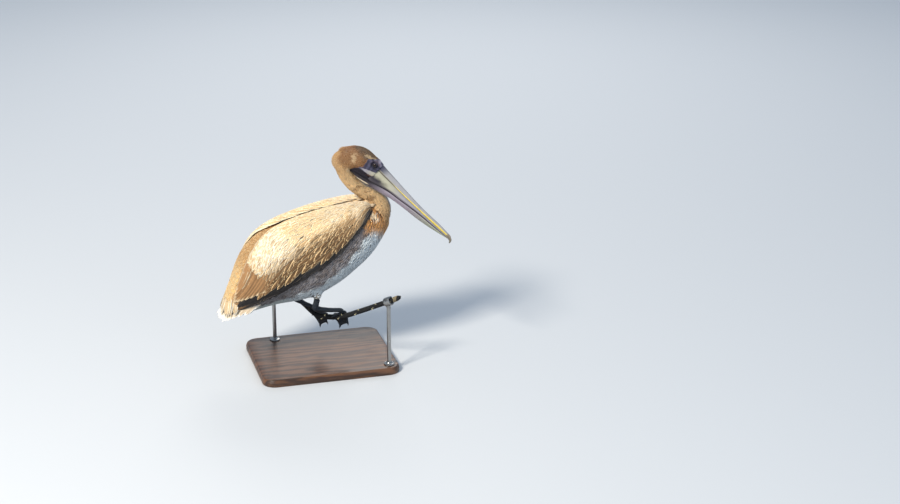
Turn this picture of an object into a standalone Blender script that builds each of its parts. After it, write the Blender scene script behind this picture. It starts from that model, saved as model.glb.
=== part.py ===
"""Brown pelican, life size, standing on a cut length of mooring rope held by a plain display stand.

Metres, +Z up. The bird faces +X, its plane of symmetry is y = 0 and its right side is toward -Y.
The origin is the centre of the underside of the stand's base.

The body is described in section planes: s runs up the body's long axis from the perch, t is the
height above that axis line, both in millimetres. The head and bill have their own frame: u runs
along the bill, v is up from it and w is sideways.
"""

from math import acos, cos, pi, radians, sin, sqrt

import bmesh
import bpy
import numpy as np
from mathutils import Vector

# ---------------------------------------------------------------- driving sizes
MM = 0.001
GAP = 0.5  # mm left between neighbouring solids

PERCH = Vector((0.030, 0.0, 0.140))  # middle of the rope between the feet
BODY_PITCH = 34.0  # degrees the body's long axis rises toward the head
HEAD_YAW = -30.0  # degrees the head is turned to the bird's right
BILL_PITCH = 38.6  # degrees the bill points below the horizon
HEAD_PIVOT = (65.0, 0.0, 0.0)  # mm from PERCH, where the turned head plane crosses y = 0
BILL_BASE = (72.4, 460.9)  # mm along the head plane, mm above PERCH
ROPE_RADIUS = 9.0
ROPE_HEADING = (0.7236, -0.6902)  # plan direction of the rope, toward the bird's right front
STANCE = 45.0  # mm of rope from PERCH to each foot

BASE_SIZE = (420.0, 350.0, 22.0)
BASE_CORNER = 40.0
ROD_RADIUS = 6.0
ROD_AT = 205.0  # mm along the rope from PERCH to each rod
ROPE_END = 245.0
CLAMP_RADIUS = 14.0

# trunk sections: s, axis height, half height up, half height down, half width
TRUNK = [
    (-215, 226, 34, 36, 38),
    (-190, 229, 48, 50, 48),
    (-150, 235, 70, 72, 58),
    (-100, 240, 98, 98, 72),
    (-50, 235, 118, 121, 86),
    (0, 223, 129, 131, 95),
    (50, 214, 128, 131, 99),
    (100, 204, 123, 125, 99),
    (150, 196, 112, 113, 96),
    (200, 188, 98, 100, 90),
    (255, 182, 74, 77, 78),
    (300, 180, 50, 54, 60),
]
TRUNK_NOSE = 27.0  # length of the rounded front
TRUNK_TOP_POWER = 2.3
TRUNK_LOW_POWER = 2.1

# neck: x and z from PERCH, heading in degrees, half size front, back and side
NECK = [
    (128, 300, 42, 46, 40, 46),
    (150, 320, 58, 44, 34, 43),
    (158, 342, 84, 36, 30, 38),
    (151, 362, 118, 30, 27, 33),
    (133, 378, 141, 27, 25, 30),
    (112, 391, 146, 24.5, 23.5, 27.5),
    (90, 406, 141, 23, 23, 26),
    (71, 424, 130, 22, 22, 25),
    (57, 445, 116, 22, 22.5, 25),
    (49, 468, 102, 22, 24, 26),
    (46, 488, 92, 20, 22, 24),
]
NECK_SPLIT = 5

# head: u, top, bottom, half width
HEAD = [
    (-121, -30, -43, 7),
    (-116, -15, -56, 16),
    (-104, 10, -67, 24),
    (-88, 30, -70, 28.5),
    (-68, 42.5, -63, 30),
    (-57, 45.5, -46, 29.6),
    (-49, 46.8, -31.6, 29),
    (-30, 46.8, -26.2, 26.5),
    (-10, 45.0, -21.8, 24),
    (3, 43.5, -18.8, 22.3),
    (12, 42.0, -17, 21),
]
EYE_AT = (-6.0, 31.0, 14.6)
EYE_RADIUS = 7.6

# mouth line: u, v
MOUTH = [(-60, -37), (-43, -30.5), (0, -20.5), (30, -14), (75, -5), (120, -2), (155, 0.5), (208, 2.5), (242, 2.5), (281, 2.5), (300, 1.0)]
# both halves of the bill are lofted through rings at these u, so that their edges run side by side
BILL_STATIONS = [12.5, 34, 60, 92, 126, 160, 194, 228, 258, 280, 293]
# upper bill: u, groove height, ridge height, ridge half width, half width, tilt in degrees
UPPER = [
    (12.5, 25, 41, 13, 21, 0),
    (34, 22, 37.5, 11, 20, 0),
    (60, 19, 34, 9, 18.5, 0),
    (90, 16, 29.5, 7.6, 17.4, 0),
    (120, 13.5, 25.6, 6.8, 16.6, 0),
    (155, 11.5, 21, 6.2, 15.6, 0),
    (190, 9.5, 17.4, 5.8, 14.8, 0),
    (225, 8, 16, 5.4, 14.6, 0),
    (255, 7, 14.6, 5.0, 14.6, 0),
    (280, 6, 12, 4.6, 13.6, 0),
    (293, 5.2, 10.4, 4.2, 11.6, 6),
    (301, 4.6, 9.2, 3.6, 9.2, 24),
]
NAIL = [(306.5, -3.0, 6.6, 6.2, 52), (309.5, -7.6, 4.4, 4.2, 74), (310.6, -11.4, 2.0, 2.0, 84)]
# lower bill and pouch: u, bottom, half width
LOWER = [
    (-47.5, -38, 19.5),
    (-36, -41, 20.5),
    (-10, -41.5, 21.5),
    (10, -39.5, 21.0),
    (36, -35, 19.6),
    (62, -30.5, 18.2),
    (92, -24.5, 16.8),
    (134, -20.5, 15.2),
    (190, -18.5, 13.6),
    (240, -12.5, 12.0),
    (275, -6.6, 10.0),
    (292, -3.6, 7.2),
    (300, -2.2, 4.6),
]

# folded wing: s, height of the lower edge, |y| of the upper edge, thickness
WING = [
    (303, 219, 27, 6),
    (299, 216, 20, 13),
    (290, 214, 14, 19),
    (275, 213, 10, 22),
    (258, 211, 8, 23),
    (225, 205, 7, 22),
    (195, 199, 7, 21),
    (160, 193, 7, 20),
    (123, 189, 7, 19),
    (90, 188, 8, 18),
    (61, 188, 10, 17.5),
    (30, 189, 15, 17),
    (0, 190, 25, 17),
    (-30, 191, 36, 16),
    (-60, 192, 45, 15),
    (-93, 194, 49, 13),
    (-125, 197, 48, 12),
    (-155, 200, 43, 10),
    (-180, 204, 37, 8),
    (-202, 208, 31, 5),
]

# tail: centre line s and t at the root and the tip, half width there, and how far its edges hang
TAIL_ROOT = (-104.0, 256.0)
TAIL_TIP = (-265.0, 221.0)
TAIL_HALF = (50.0, 69.0)
TAIL_DROP = (84.0, 20.0)
TAIL_ROLL = 0.13  # the left edge stands higher than the right
TAIL_THICK = (8.0, 3.6)

# legs: mm from PERCH; feet stand STANCE along the rope on either side
THIGH_RIGHT = [(-36, -37, 136), (-47, -45, 106), (-51, -49, 79)]
THIGH_LEFT = [(-94, 39, 144), (-107, 48, 113), (-113.5, 53, 83)]
THIGH_RADII = [23.0, 18.0, 11.5]
LEG_RIGHT = [(-50.3, -48.9, 78), (-54, -46.5, 60), (-54, -43.5, 49), (-43, -41, 42), (-14, -37.2, 35.5), (8, -35, 32), (22, -34, 30), (31, -33.2, 27)]
LEG_LEFT = [(-113.4, 52.8, 83), (-116, 51, 70), (-116, 49, 61), (-106, 46, 54), (-82, 40, 40), (-62, 35.5, 29.5), (-46, 32, 22), (-36, 30.3, 14.4)]
LEG_RADII = [9.0, 9.4, 10.2, 9.0, 7.2, 6.8, 6.8, 5.2]
TOES = [  # heading in degrees from the foot's own forward toward its outer side, length, half width
    (-95.0, 38.0, 3.8),
    (-28.0, 61.0, 4.3),
    (0.0, 75.0, 4.6),
    (26.0, 64.0, 4.4),
]
FOOT_HEADING_RIGHT = 67.0  # the feet point this much to the left, across the rope
FOOT_HEADING_LEFT = 51.0
FOOT_BACK = 3.0  # mm the toes' joint lies behind the rope's axis
WEB_HALF = 0.9
WEB_NOTCH = 0.05  # how far the web's margin dips between two toe tips
FOOT_HOLE = 8.2  # round the ball of the joint, which the leg ends in
DRAPE_LIMIT = 80.0

COLOURS = {
    "plumage_back": ((0.42, 0.29, 0.17), 0.85),
    "plumage_wing": ((0.60, 0.46, 0.29), 0.85),
    "plumage_neck": ((0.44, 0.28, 0.13), 0.85),
    "plumage_tail": ((0.62, 0.52, 0.38), 0.80),
    "bill_horn": ((0.36, 0.35, 0.33), 0.45),
    "pouch_skin": ((0.20, 0.20, 0.22), 0.55),
    "eye_dark": ((0.02, 0.015, 0.012), 0.10),
    "leg_skin": ((0.035, 0.045, 0.055), 0.60),
    "rope_dark": ((0.03, 0.03, 0.033), 0.75),
    "base_wood": ((0.20, 0.11, 0.055), 0.50),
    "rod_steel": ((0.30, 0.30, 0.31), 0.35),
}


# ---------------------------------------------------------------- helpers
def curve(stations, column, at):
    """Smooth value of one column of a station table at positions in its first column."""
    xs = np.array([row[0] for row in stations], float)
    ys = np.array([row[column] for row in stations], float)
    if xs[0] > xs[-1]:
        xs, ys = xs[::-1], ys[::-1]
    at = np.clip(np.asarray(at, float), xs[0], xs[-1])
    step = np.diff(xs)
    slope = np.diff(ys) / step
    tangent = np.empty_like(ys)
    tangent[0], tangent[-1] = slope[0], slope[-1]
    tangent[1:-1] = (slope[:-1] * step[1:] + slope[1:] * step[:-1]) / (step[:-1] + step[1:])
    i = np.clip(np.searchsorted(xs, at, side="right") - 1, 0, len(xs) - 2)
    h = step[i]
    f = (at - xs[i]) / h
    return (
        ys[i] * (2 * f**3 - 3 * f**2 + 1)
        + tangent[i] * h * (f**3 - 2 * f**2 + f)
        + ys[i + 1] * (3 * f**2 - 2 * f**3)
        + tangent[i + 1] * h * (f**3 - f**2)
    )


def body_point(s, t, y):
    a = radians(BODY_PITCH)
    return np.stack(
        [
            PERCH.x + (s * cos(a) - t * sin(a)) * MM,
            PERCH.y + y * MM + 0 * s,
            PERCH.z + (s * sin(a) + t * cos(a)) * MM,
        ],
        -1,
    )


def head_point(u, v, w):
    yaw, pitch = radians(HEAD_YAW), radians(BILL_PITCH)
    q = BILL_BASE[0] + u * cos(pitch) + v * sin(pitch)
    z = BILL_BASE[1] - u * sin(pitch) + v * cos(pitch)
    x = HEAD_PIVOT[0] + q * cos(yaw) - w * sin(yaw)
    y = HEAD_PIVOT[1] + q * sin(yaw) + w * cos(yaw)
    return np.stack([PERCH.x + x * MM, PERCH.y + y * MM, PERCH.z + z * MM], -1)


def signed_power(value, power):
    return np.sign(value) * np.abs(value) ** power


def trunk_section(s, angle, grow=0.0):
    """(t, y) of the trunk's skin at station s; angle 0 is the back, positive toward the left."""
    c, up, low, side = (curve(TRUNK, k, s) for k in (1, 2, 3, 4))
    top = np.cos(angle) >= 0
    power = np.where(top, TRUNK_TOP_POWER, TRUNK_LOW_POWER)
    half = np.where(top, up, low)
    ct, st = signed_power(np.cos(angle), 2 / power), signed_power(np.sin(angle), 2 / power)
    t, y = half * ct, side * st
    nt = signed_power(t / half, power - 1) / half
    ny = signed_power(y / side, power - 1) / side
    size = np.sqrt(nt**2 + ny**2) + 1e-12
    return c + t + grow * nt / size, y + grow * ny / size


def angle_at_side(s, y):
    """Section angle where the trunk's upper half reaches |y|."""
    side = curve(TRUNK, 4, s)
    return np.arcsin(np.clip(y / side, 0, 0.9999) ** (TRUNK_TOP_POWER / 2))


def angle_at_height(s, t):
    c, up, low = (curve(TRUNK, k, s) for k in (1, 2, 3))
    above = t >= c
    half = np.where(above, up, low)
    power = np.where(above, TRUNK_TOP_POWER, TRUNK_LOW_POWER)
    f = np.clip(np.abs(t - c) / half, 0, 0.9999) ** (power / 2)
    return np.where(above, np.arccos(f), np.pi - np.arccos(f))


def material(slot):
    found = bpy.data.materials.get(slot)
    if found:
        return found
    colour, roughness = COLOURS[slot]
    made = bpy.data.materials.new(slot)
    made.use_nodes = True
    shader = made.node_tree.nodes["Principled BSDF"]
    shader.inputs["Base Color"].default_value = (*colour, 1.0)
    shader.inputs["Roughness"].default_value = roughness
    shader.inputs["Metallic"].default_value = 1.0 if slot == "rod_steel" else 0.0
    made.diffuse_color = (*colour, 1.0)
    return made


def solid(name, points, faces, slot, smooth=True):
    mesh = bpy.data.meshes.new(name)
    mesh.from_pydata([tuple(map(float, p)) for p in points], [], [tuple(map(int, f)) for f in faces])
    work = bmesh.new()
    work.from_mesh(mesh)
    bmesh.ops.triangulate(work, faces=work.faces[:])
    if work.calc_volume(signed=True) < 0:
        bmesh.ops.reverse_faces(work, faces=work.faces[:])
    work.to_mesh(mesh)
    work.free()
    for polygon in mesh.polygons:
        polygon.use_smooth = smooth
    mesh.materials.append(material(slot))
    obj = bpy.data.objects.new(name, mesh)
    bpy.context.scene.collection.objects.link(obj)
    return obj


def loft(name, rings, slot, smooth=True):
    """Closed body through closed rings, with a fan at each end."""
    rings = np.asarray(rings)
    m, n = rings.shape[:2]
    points = list(rings.reshape(-1, 3)) + [rings[0].mean(0), rings[-1].mean(0)]
    faces = []
    for i in range(m - 1):
        for j in range(n):
            k = (j + 1) % n
            faces.append((i * n + j, i * n + k, (i + 1) * n + k, (i + 1) * n + j))
    for j in range(n):
        k = (j + 1) % n
        faces.append((m * n, k, j))
        faces.append((m * n + 1, (m - 1) * n + j, (m - 1) * n + k))
    return solid(name, points, faces, slot, smooth)


def plate(name, upper, lower, slot, smooth=True):
    """Closed body between two sheets of the same grid, joined round the border."""
    m, n = upper.shape[:2]
    points = np.concatenate([upper.reshape(-1, 3), lower.reshape(-1, 3)])
    low = m * n
    faces = []
    for i in range(m - 1):
        for j in range(n - 1):
            a, b, c, d = i * n + j, i * n + j + 1, (i + 1) * n + j + 1, (i + 1) * n + j
            faces += [(a, b, c, d), (low + d, low + c, low + b, low + a)]
    border = (
        [(0, j) for j in range(n - 1)]
        + [(i, n - 1) for i in range(m - 1)]
        + [(m - 1, j) for j in range(n - 1, 0, -1)]
        + [(i, 0) for i in range(m - 1, 0, -1)]
    )
    border = [i * n + j for i, j in border]
    for a, b in zip(border, border[1:] + border[:1]):
        faces.append((b, a, low + a, low + b))
    return solid(name, points, faces, slot, smooth)


def sweep(centres, radii, count, squash=None):
    """Round rings about a path, turned as little as possible from one to the next."""
    centres = [Vector(c) for c in centres]
    rings = []
    side = None
    for i, centre in enumerate(centres):
        before, after = centres[max(i - 1, 0)], centres[min(i + 1, len(centres) - 1)]
        ahead = (after - before).normalized()
        if side is None:
            side = ahead.cross(Vector((0, 0, 1)))
            side = side if side.length > 1e-6 else Vector((0, 1, 0))
        side = (side - ahead * side.dot(ahead)).normalized()
        up = side.cross(ahead)
        wide, tall = radii[i] if isinstance(radii[i], tuple) else (radii[i], radii[i])
        rings.append(
            [
                tuple(centre + side * (wide * cos(2 * pi * j / count)) + up * (tall * sin(2 * pi * j / count)))
                for j in range(count)
            ]
        )
    return np.array(rings)


def subtract(target, others, gap=GAP):
    """Takes from target the room that the others need, with a gap all round them."""
    for other in others:
        cutter = other.copy()
        cutter.data = other.data.copy()
        cutter.name = f"cutter_{target.name}_{other.name}"
        cutter.modifiers.clear()
        normals = [vertex.normal.copy() for vertex in cutter.data.vertices]
        for vertex, normal in zip(cutter.data.vertices, normals):
            vertex.co += normal * gap * MM
        cutter.hide_render = True
        cutter.display_type = "WIRE"
        bpy.context.scene.collection.objects.link(cutter)
        cut = target.modifiers.new(f"room_for_{other.name}", "BOOLEAN")
        cut.operation = "DIFFERENCE"
        cut.solver = "EXACT"
        cut.object = cutter


# ---------------------------------------------------------------- the bird
def make_trunk(count=28):
    stations = list(np.linspace(-215, 300, 18))
    angles = np.linspace(0, 2 * pi, count, endpoint=False)
    angles = np.where(angles > pi, angles - 2 * pi, angles)
    rings = []
    c0 = curve(TRUNK, 1, -215)
    for f in (0.35, 0.75):
        t, y = trunk_section(np.full(count, -215.0), angles)
        s = -215 - 7 * sqrt(1 - f * f)
        rings.append(body_point(np.full(count, s), c0 + (t - c0) * f, y * f))
    for s in stations:
        t, y = trunk_section(np.full(count, s), angles)
        rings.append(body_point(np.full(count, s), t, y))
    c1 = curve(TRUNK, 1, 300)
    for k in (25, 50, 72):
        f = cos(radians(k))
        t, y = trunk_section(np.full(count, 300.0), angles)
        s = 300 + TRUNK_NOSE * sin(radians(k))
        rings.append(body_point(np.full(count, s), c1 + (t - c1) * f, y * f))
    return loft("trunk", rings, "plumage_back")


def make_wing(side, along=21, across=9):
    s = np.concatenate([[303, 301, 297, 291], np.linspace(282, -185, along - 6), [-195, -202]])
    low = angle_at_height(s, curve(WING, 1, s))
    high = angle_at_side(s, curve(WING, 2, s))
    thick = curve(WING, 3, s)
    b = np.linspace(0, 1, across)
    angle = high[:, None] + (low - high)[:, None] * b[None]
    lens = 0.30 + 0.70 * np.clip(1 - np.abs(2 * b - 1) ** 3.0, 0, 1)
    ss = np.repeat(s[:, None], across, 1)
    t1, y1 = trunk_section(ss, angle, 1.3)
    t2, y2 = trunk_section(ss, angle, 1.3 + thick[:, None] * lens[None])
    outer = body_point(ss, t2, y2 * side)
    inner = body_point(ss, t1, y1 * side)
    return plate("wing_left" if side > 0 else "wing_right", outer, inner, "plumage_wing")


def make_neck(count=18):
    rows = np.array(NECK, float)
    k = np.arange(len(rows), dtype=float)
    table = [tuple([i, *row]) for i, row in zip(k, rows)]
    lower, upper = [], []
    for name, span in (("neck_lower", np.linspace(0, NECK_SPLIT, 8)), ("neck_upper", np.linspace(NECK_SPLIT, len(rows) - 1, 8))):
        rings = []
        for index, p in enumerate(span):
            x, z, heading, front, back, side = (float(curve(table, c, p)) for c in range(1, 7))
            if name == "neck_upper" and index == 0:
                x, z = x + cos(radians(heading)) * GAP, z + sin(radians(heading)) * GAP
            a = radians(heading)
            ring = []
            for j in range(count):
                th = 2 * pi * j / count
                reach = front if cos(th) > 0 else back
                dx, dy = reach * cos(th), side * sin(th)
                ring.append(
                    (
                        PERCH.x + (x + dx * sin(a)) * MM,
                        PERCH.y + dy * MM,
                        PERCH.z + (z - dx * cos(a)) * MM,
                    )
                )
            rings.append(ring)
        made = loft(name, rings, "plumage_neck")
        (lower if name == "neck_lower" else upper).append(made)
    return lower[0], upper[0]


def make_head(count=18):
    u = np.concatenate([[-121, -119, -114], np.linspace(-105, 12, 11)])
    th = np.linspace(0, 2 * pi, count, endpoint=False)
    rings = []
    for at in u:
        top, bottom, side = (float(curve(HEAD, c, at)) for c in (1, 2, 3))
        mid, half = (top + bottom) / 2, (top - bottom) / 2
        v = mid + half * signed_power(np.cos(th), 2 / 2.2)
        w = side * signed_power(np.sin(th), 2 / 2.2)
        rings.append(head_point(np.full(count, at), v, w))
    return loft("head", rings, "plumage_neck")


def make_eye(side):
    u, v, w = EYE_AT
    rings = []
    for k in (-65, -25, 12, 40, 68):
        r, h = EYE_RADIUS * cos(radians(k)), EYE_RADIUS * sin(radians(k))
        th = np.linspace(0, 2 * pi, 12, endpoint=False)
        rings.append(head_point(u + r * np.cos(th), v + r * np.sin(th), np.full(12, side * (w + h))))
    return loft("eye_left" if side > 0 else "eye_right", rings, "eye_dark")


def upper_loop(v_mouth, groove, ridge, ridge_half, half):
    rim = min(3.0, 0.35 * (groove - v_mouth))
    right = [
        (0.0, v_mouth),
        (0.55 * half, v_mouth),
        (half - 1.0, v_mouth),
        (half, v_mouth + 0.45 * rim),
        (half - 0.5, v_mouth + rim),
        (0.52 * half + 0.48 * ridge_half, v_mouth + rim + 0.72 * (groove - v_mouth - rim)),
        (ridge_half + 0.4, groove),
        (0.80 * ridge_half, groove + 0.45 * (ridge - groove)),
        (0.42 * ridge_half, groove + 0.86 * (ridge - groove)),
        (0.0, ridge),
    ]
    left = [(-w, v) for w, v in right[-2:0:-1]]
    return np.array(right + left)


def make_upper_bill():
    rings = []
    for at in BILL_STATIONS + [301]:
        groove, ridge, ridge_half, half, tilt = (float(curve(UPPER, c, at)) for c in range(1, 6))
        mouth = float(curve(MOUTH, 1, at))
        loop = upper_loop(mouth, groove, ridge, ridge_half, half)
        a = radians(tilt)
        lift = loop[:, 1] - mouth
        rings.append(head_point(at + lift * sin(a), mouth + lift * cos(a), loop[:, 0]))
    for u, v, tall, half, tilt in NAIL:
        loop = upper_loop(0.0, 0.55 * tall, tall, 0.5 * half, half)
        a = radians(tilt)
        rings.append(head_point(u + loop[:, 1] * sin(a), v + loop[:, 1] * cos(a), loop[:, 0]))
    return loft("bill_upper", rings, "bill_horn")


def make_lower_bill(count=14):
    rings = []
    for at in [-47.5, -38, -22, -4] + BILL_STATIONS + [300]:
        bottom, half = (float(curve(LOWER, c, at)) for c in (1, 2))
        top = float(curve(MOUTH, 1, at)) - GAP
        loop = [(half - 1.0, top), (half * 0.5, top), (0.0, top), (-half * 0.5, top), (1.0 - half, top)]
        for j in range(count - 5):
            th = pi + pi * (j + 0.5) / (count - 5)
            loop.append((half * float(signed_power(np.cos(th), 0.8)), top + (top - bottom) * float(signed_power(np.sin(th), 0.95))))
        loop = np.array(loop)
        rings.append(head_point(np.full(count, at), loop[:, 1], loop[:, 0]))
    return loft("bill_lower", rings, "pouch_skin")


def make_tail(along=9, across=13):
    d = np.linspace(0, 1, along)
    f = np.linspace(-1, 1, across)
    length = 1 - 0.6 * np.abs(f) ** 3.6
    dd = d[:, None] * length[None]
    s = TAIL_ROOT[0] + (TAIL_TIP[0] - TAIL_ROOT[0]) * dd
    y = (TAIL_HALF[0] + (TAIL_HALF[1] - TAIL_HALF[0]) * dd) * f[None]
    drop = TAIL_DROP[1] + (TAIL_DROP[0] - TAIL_DROP[1]) * (1 - dd) ** 1.3
    t = TAIL_ROOT[1] + (TAIL_TIP[1] - TAIL_ROOT[1]) * dd - drop * f[None] ** 2 + TAIL_ROLL * y
    thick = (TAIL_THICK[0] + (TAIL_THICK[1] - TAIL_THICK[0]) * dd) * (1 - 0.35 * f[None] ** 2)
    steep = 2 * drop * f[None] / y.max()
    lean = np.sqrt(1 + steep**2)
    dy, dt = 0.5 * thick * steep / lean, 0.5 * thick / lean
    return plate("tail", body_point(s, t + dt, y + dy), body_point(s, t - dt, y - dy), "plumage_tail")


def rope_height(l):
    """Height of the rope's axis over PERCH at l millimetres along it."""
    rows = [(-330, 167), (-200, 88), (-100, 26), (-47, -6), (0, -3), (45, 8), (100, 33), (200, 83), (330, 149)]
    return curve(rows, 1, l)


def rope_point(l, across=0.0, up=0.0):
    hx, hy = ROPE_HEADING
    return Vector(
        (
            PERCH.x + (hx * l - hy * across) * MM,
            PERCH.y + (hy * l + hx * across) * MM,
            PERCH.z + (float(rope_height(l)) + up) * MM,
        )
    )


def make_rope():
    spots = np.concatenate([np.linspace(-ROPE_END, -75, 5), np.linspace(-50, 50, 7), np.linspace(75, ROPE_END, 5)])
    return loft("perch_rope", sweep([rope_point(l) for l in spots], [ROPE_RADIUS * MM] * len(spots), 12), "rope_dark")


def make_limb(name, path, radii, slot, rings, count):
    centres = [PERCH + Vector(p) * MM for p in path]
    k = [(i, *c) for i, c in enumerate(centres)]
    r = [(i, v) for i, v in enumerate(radii)]
    spots = np.linspace(0, len(path) - 1, rings)
    points = [Vector([float(curve(k, c, p)) for c in (1, 2, 3)]) for p in spots]
    return loft(name, sweep(points, [float(curve(r, 1, p)) * MM for p in spots], count), slot)


def draped(l, across, over):
    """Point of a foot laid over the rope: l along it, across it by arc length, over above the sole."""
    reach = ROPE_RADIUS + GAP + 4.7
    limit = radians(DRAPE_LIMIT)
    angle = max(-limit, min(limit, across / reach))
    rest = across - angle * reach
    a = reach * sin(angle) + rest * cos(angle)
    z = reach * cos(angle) - rest * sin(angle) * (1 if angle > 0 else 1)
    a += over * sin(angle)
    z += over * cos(angle)
    return rope_point(l, a, z)


def make_foot(side):
    at = -STANCE if side > 0 else STANCE
    heading_at = FOOT_HEADING_LEFT if side > 0 else FOOT_HEADING_RIGHT
    mirror = 1 if side > 0 else -1
    along = 8
    columns = []
    for toe, (heading, length, half) in enumerate(TOES):
        # toes run from the inner side of the foot to the outer side
        a = radians(heading_at + heading * mirror)
        ahead = np.array([cos(a), sin(a)])
        across = np.array([-sin(a), cos(a)])
        r = np.linspace(0.0, 1.0, along)
        core = FOOT_HOLE + (length - FOOT_HOLE) * r
        taper = half * (1 - 0.5 * r) * np.where(r > 0.99, 0.2, 1.0)
        taper = np.minimum(taper, 0.2 * core)
        for offset, height in ((-1, 0.30), (0, 1.0), (1, 0.30)):
            p = core[:, None] * ahead[None] + offset * mirror * taper[:, None] * across[None]
            h = np.maximum(np.maximum(taper, half * 0.7 * (1 - r)) * height, 0.7)
            columns.append((p, h))
        if toe < len(TOES) - 1:
            columns.append(None)
    filled = []
    for index, column in enumerate(columns):
        if column is not None:
            filled.append(column)
            continue
        (pa, ha), (pb, hb) = columns[index - 1], columns[index + 1]
        for f in (0.33, 0.67):
            web = pa * (1 - f) + pb * f
            span = np.linspace(0.0, 1.0, along)
            bow = np.linalg.norm(pa, axis=1) * (1 - f) + np.linalg.norm(pb, axis=1) * f
            bow = bow / np.linalg.norm(web, axis=1)
            web = web * (bow * (1 - span) + (1 - WEB_NOTCH) * span)[:, None]
            filled.append((web, np.full(along, WEB_HALF)))
    hx, hy = ROPE_HEADING
    back = np.array([-hy, hx]) * -FOOT_BACK
    upper, lower = [], []
    for i in range(along):
        up_row, low_row = [], []
        for p, h in filled:
            q = p[i] + back
            l = at + q[0] * hx + q[1] * hy
            across = -q[0] * hy + q[1] * hx
            up_row.append(tuple(draped(l, across, float(h[i]))))
            low_row.append(tuple(draped(l, across, -float(h[i]))))
        upper.append(up_row)
        lower.append(low_row)
    return plate("foot_left" if side > 0 else "foot_right", np.array(upper), np.array(lower), "leg_skin")


# ---------------------------------------------------------------- the stand
def make_base():
    lx, ly, lz = (v * MM / 2 for v in BASE_SIZE)
    r = BASE_CORNER * MM
    bevel = 2.0 * MM
    rings = []
    for z, inset in ((0.0, bevel), (bevel, 0.0), (2 * lz - bevel, 0.0), (2 * lz, bevel)):
        ring = []
        for cx, cy, start in ((lx - r, ly - r, 0), (r - lx, ly - r, 90), (r - lx, r - ly, 180), (lx - r, r - ly, 270)):
            for k in range(7):
                a = radians(start + 15 * k)
                ring.append((cx + (r - inset) * cos(a), cy + (r - inset) * sin(a), z))
        rings.append(ring)
    return loft("stand_base", rings, "base_wood", smooth=False)


def make_clamp(name, l):
    a, b = rope_point(l - 11), rope_point(l + 11)
    inner, outer = (ROPE_RADIUS + GAP) * MM, CLAMP_RADIUS * MM
    centres = [a, b]
    ring_in = sweep(centres, [inner, inner], 18)
    ring_out = sweep(centres, [outer, outer], 18)
    n = 18
    points = np.concatenate([ring_out[0], ring_out[1], ring_in[1], ring_in[0]])
    faces = []
    for layer in range(4):
        for j in range(n):
            k = (j + 1) % n
            p, q = layer * n, ((layer + 1) % 4) * n
            faces.append((p + j, p + k, q + k, q + j))
    return solid(name, points, faces, "rod_steel", smooth=False)


def make_rod(name, l):
    at = rope_point(l)
    hx, hy = ROPE_HEADING
    slope = float(rope_height(l + 5) - rope_height(l - 5)) / 10
    floor = BASE_SIZE[2] * MM + GAP * MM
    r = ROD_RADIUS * MM
    under = (CLAMP_RADIUS + 0.9) * MM
    profile = [(16 * MM, floor), (16 * MM, floor + 4 * MM), (9 * MM, floor + 7 * MM), (r, floor + 9 * MM), (r, None)]
    rings = []
    for radius, z in profile:
        ring = []
        for j in range(16):
            x, y = radius * cos(2 * pi * j / 16), radius * sin(2 * pi * j / 16)
            along, across = x * hx + y * hy, y * hx - x * hy
            if z is None:
                # the top is hollowed to sit under the clamp's slanting barrel
                height = at.z + slope * along - sqrt((under**2 - across**2) * (1 + slope**2))
            else:
                height = z
            ring.append((at.x + x, at.y + y, height))
        rings.append(ring)
    rings.append([(at.x, at.y, at.z - under * sqrt(1 + slope**2))] * 16)
    return loft_to_point(name, rings, "rod_steel")


def loft_to_point(name, rings, slot):
    """As loft, but the last ring is one point."""
    rings = np.asarray(rings)
    m, n = rings.shape[:2]
    points = list(rings[:-1].reshape(-1, 3)) + [rings[0].mean(0), rings[-1][0]]
    low, top = (m - 1) * n, (m - 1) * n + 1
    faces = []
    for i in range(m - 2):
        for j in range(n):
            k = (j + 1) % n
            faces.append((i * n + j, i * n + k, (i + 1) * n + k, (i + 1) * n + j))
    for j in range(n):
        k = (j + 1) % n
        faces.append((low, k, j))
        faces.append((top, (m - 2) * n + j, (m - 2) * n + k))
    return solid(name, points, faces, slot, smooth=False)


def main():
    for obj in list(bpy.data.objects):
        bpy.data.objects.remove(obj)
    trunk = make_trunk()
    wings = [make_wing(1), make_wing(-1)]
    lower, upper = make_neck()
    head = make_head()
    eyes = [make_eye(1), make_eye(-1)]
    make_upper_bill()
    pouch = make_lower_bill()
    tail = make_tail()
    thighs = [
        make_limb("thigh_left", THIGH_LEFT, THIGH_RADII, "plumage_back", 7, 14),
        make_limb("thigh_right", THIGH_RIGHT, THIGH_RADII, "plumage_back", 7, 14),
    ]
    legs = [
        make_limb("leg_left", LEG_LEFT, LEG_RADII, "leg_skin", 13, 10),
        make_limb("leg_right", LEG_RIGHT, LEG_RADII, "leg_skin", 13, 10),
    ]
    make_foot(1)
    make_foot(-1)
    make_rope()
    make_base()
    for name, l in (("front", ROD_AT), ("rear", -ROD_AT)):
        make_clamp(f"stand_clamp_{name}", l)
        make_rod(f"stand_rod_{name}", l)
    subtract(lower, [trunk])
    subtract(upper, [head, pouch])
    subtract(head, eyes, 0.4)
    subtract(tail, [trunk] + wings)
    for thigh, leg in zip(thighs, legs):
        subtract(thigh, [trunk])
        subtract(leg, [thigh, trunk])


main()
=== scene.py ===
"""Looks of a life-size immature brown pelican standing on a short length of mooring rope."""

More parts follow.
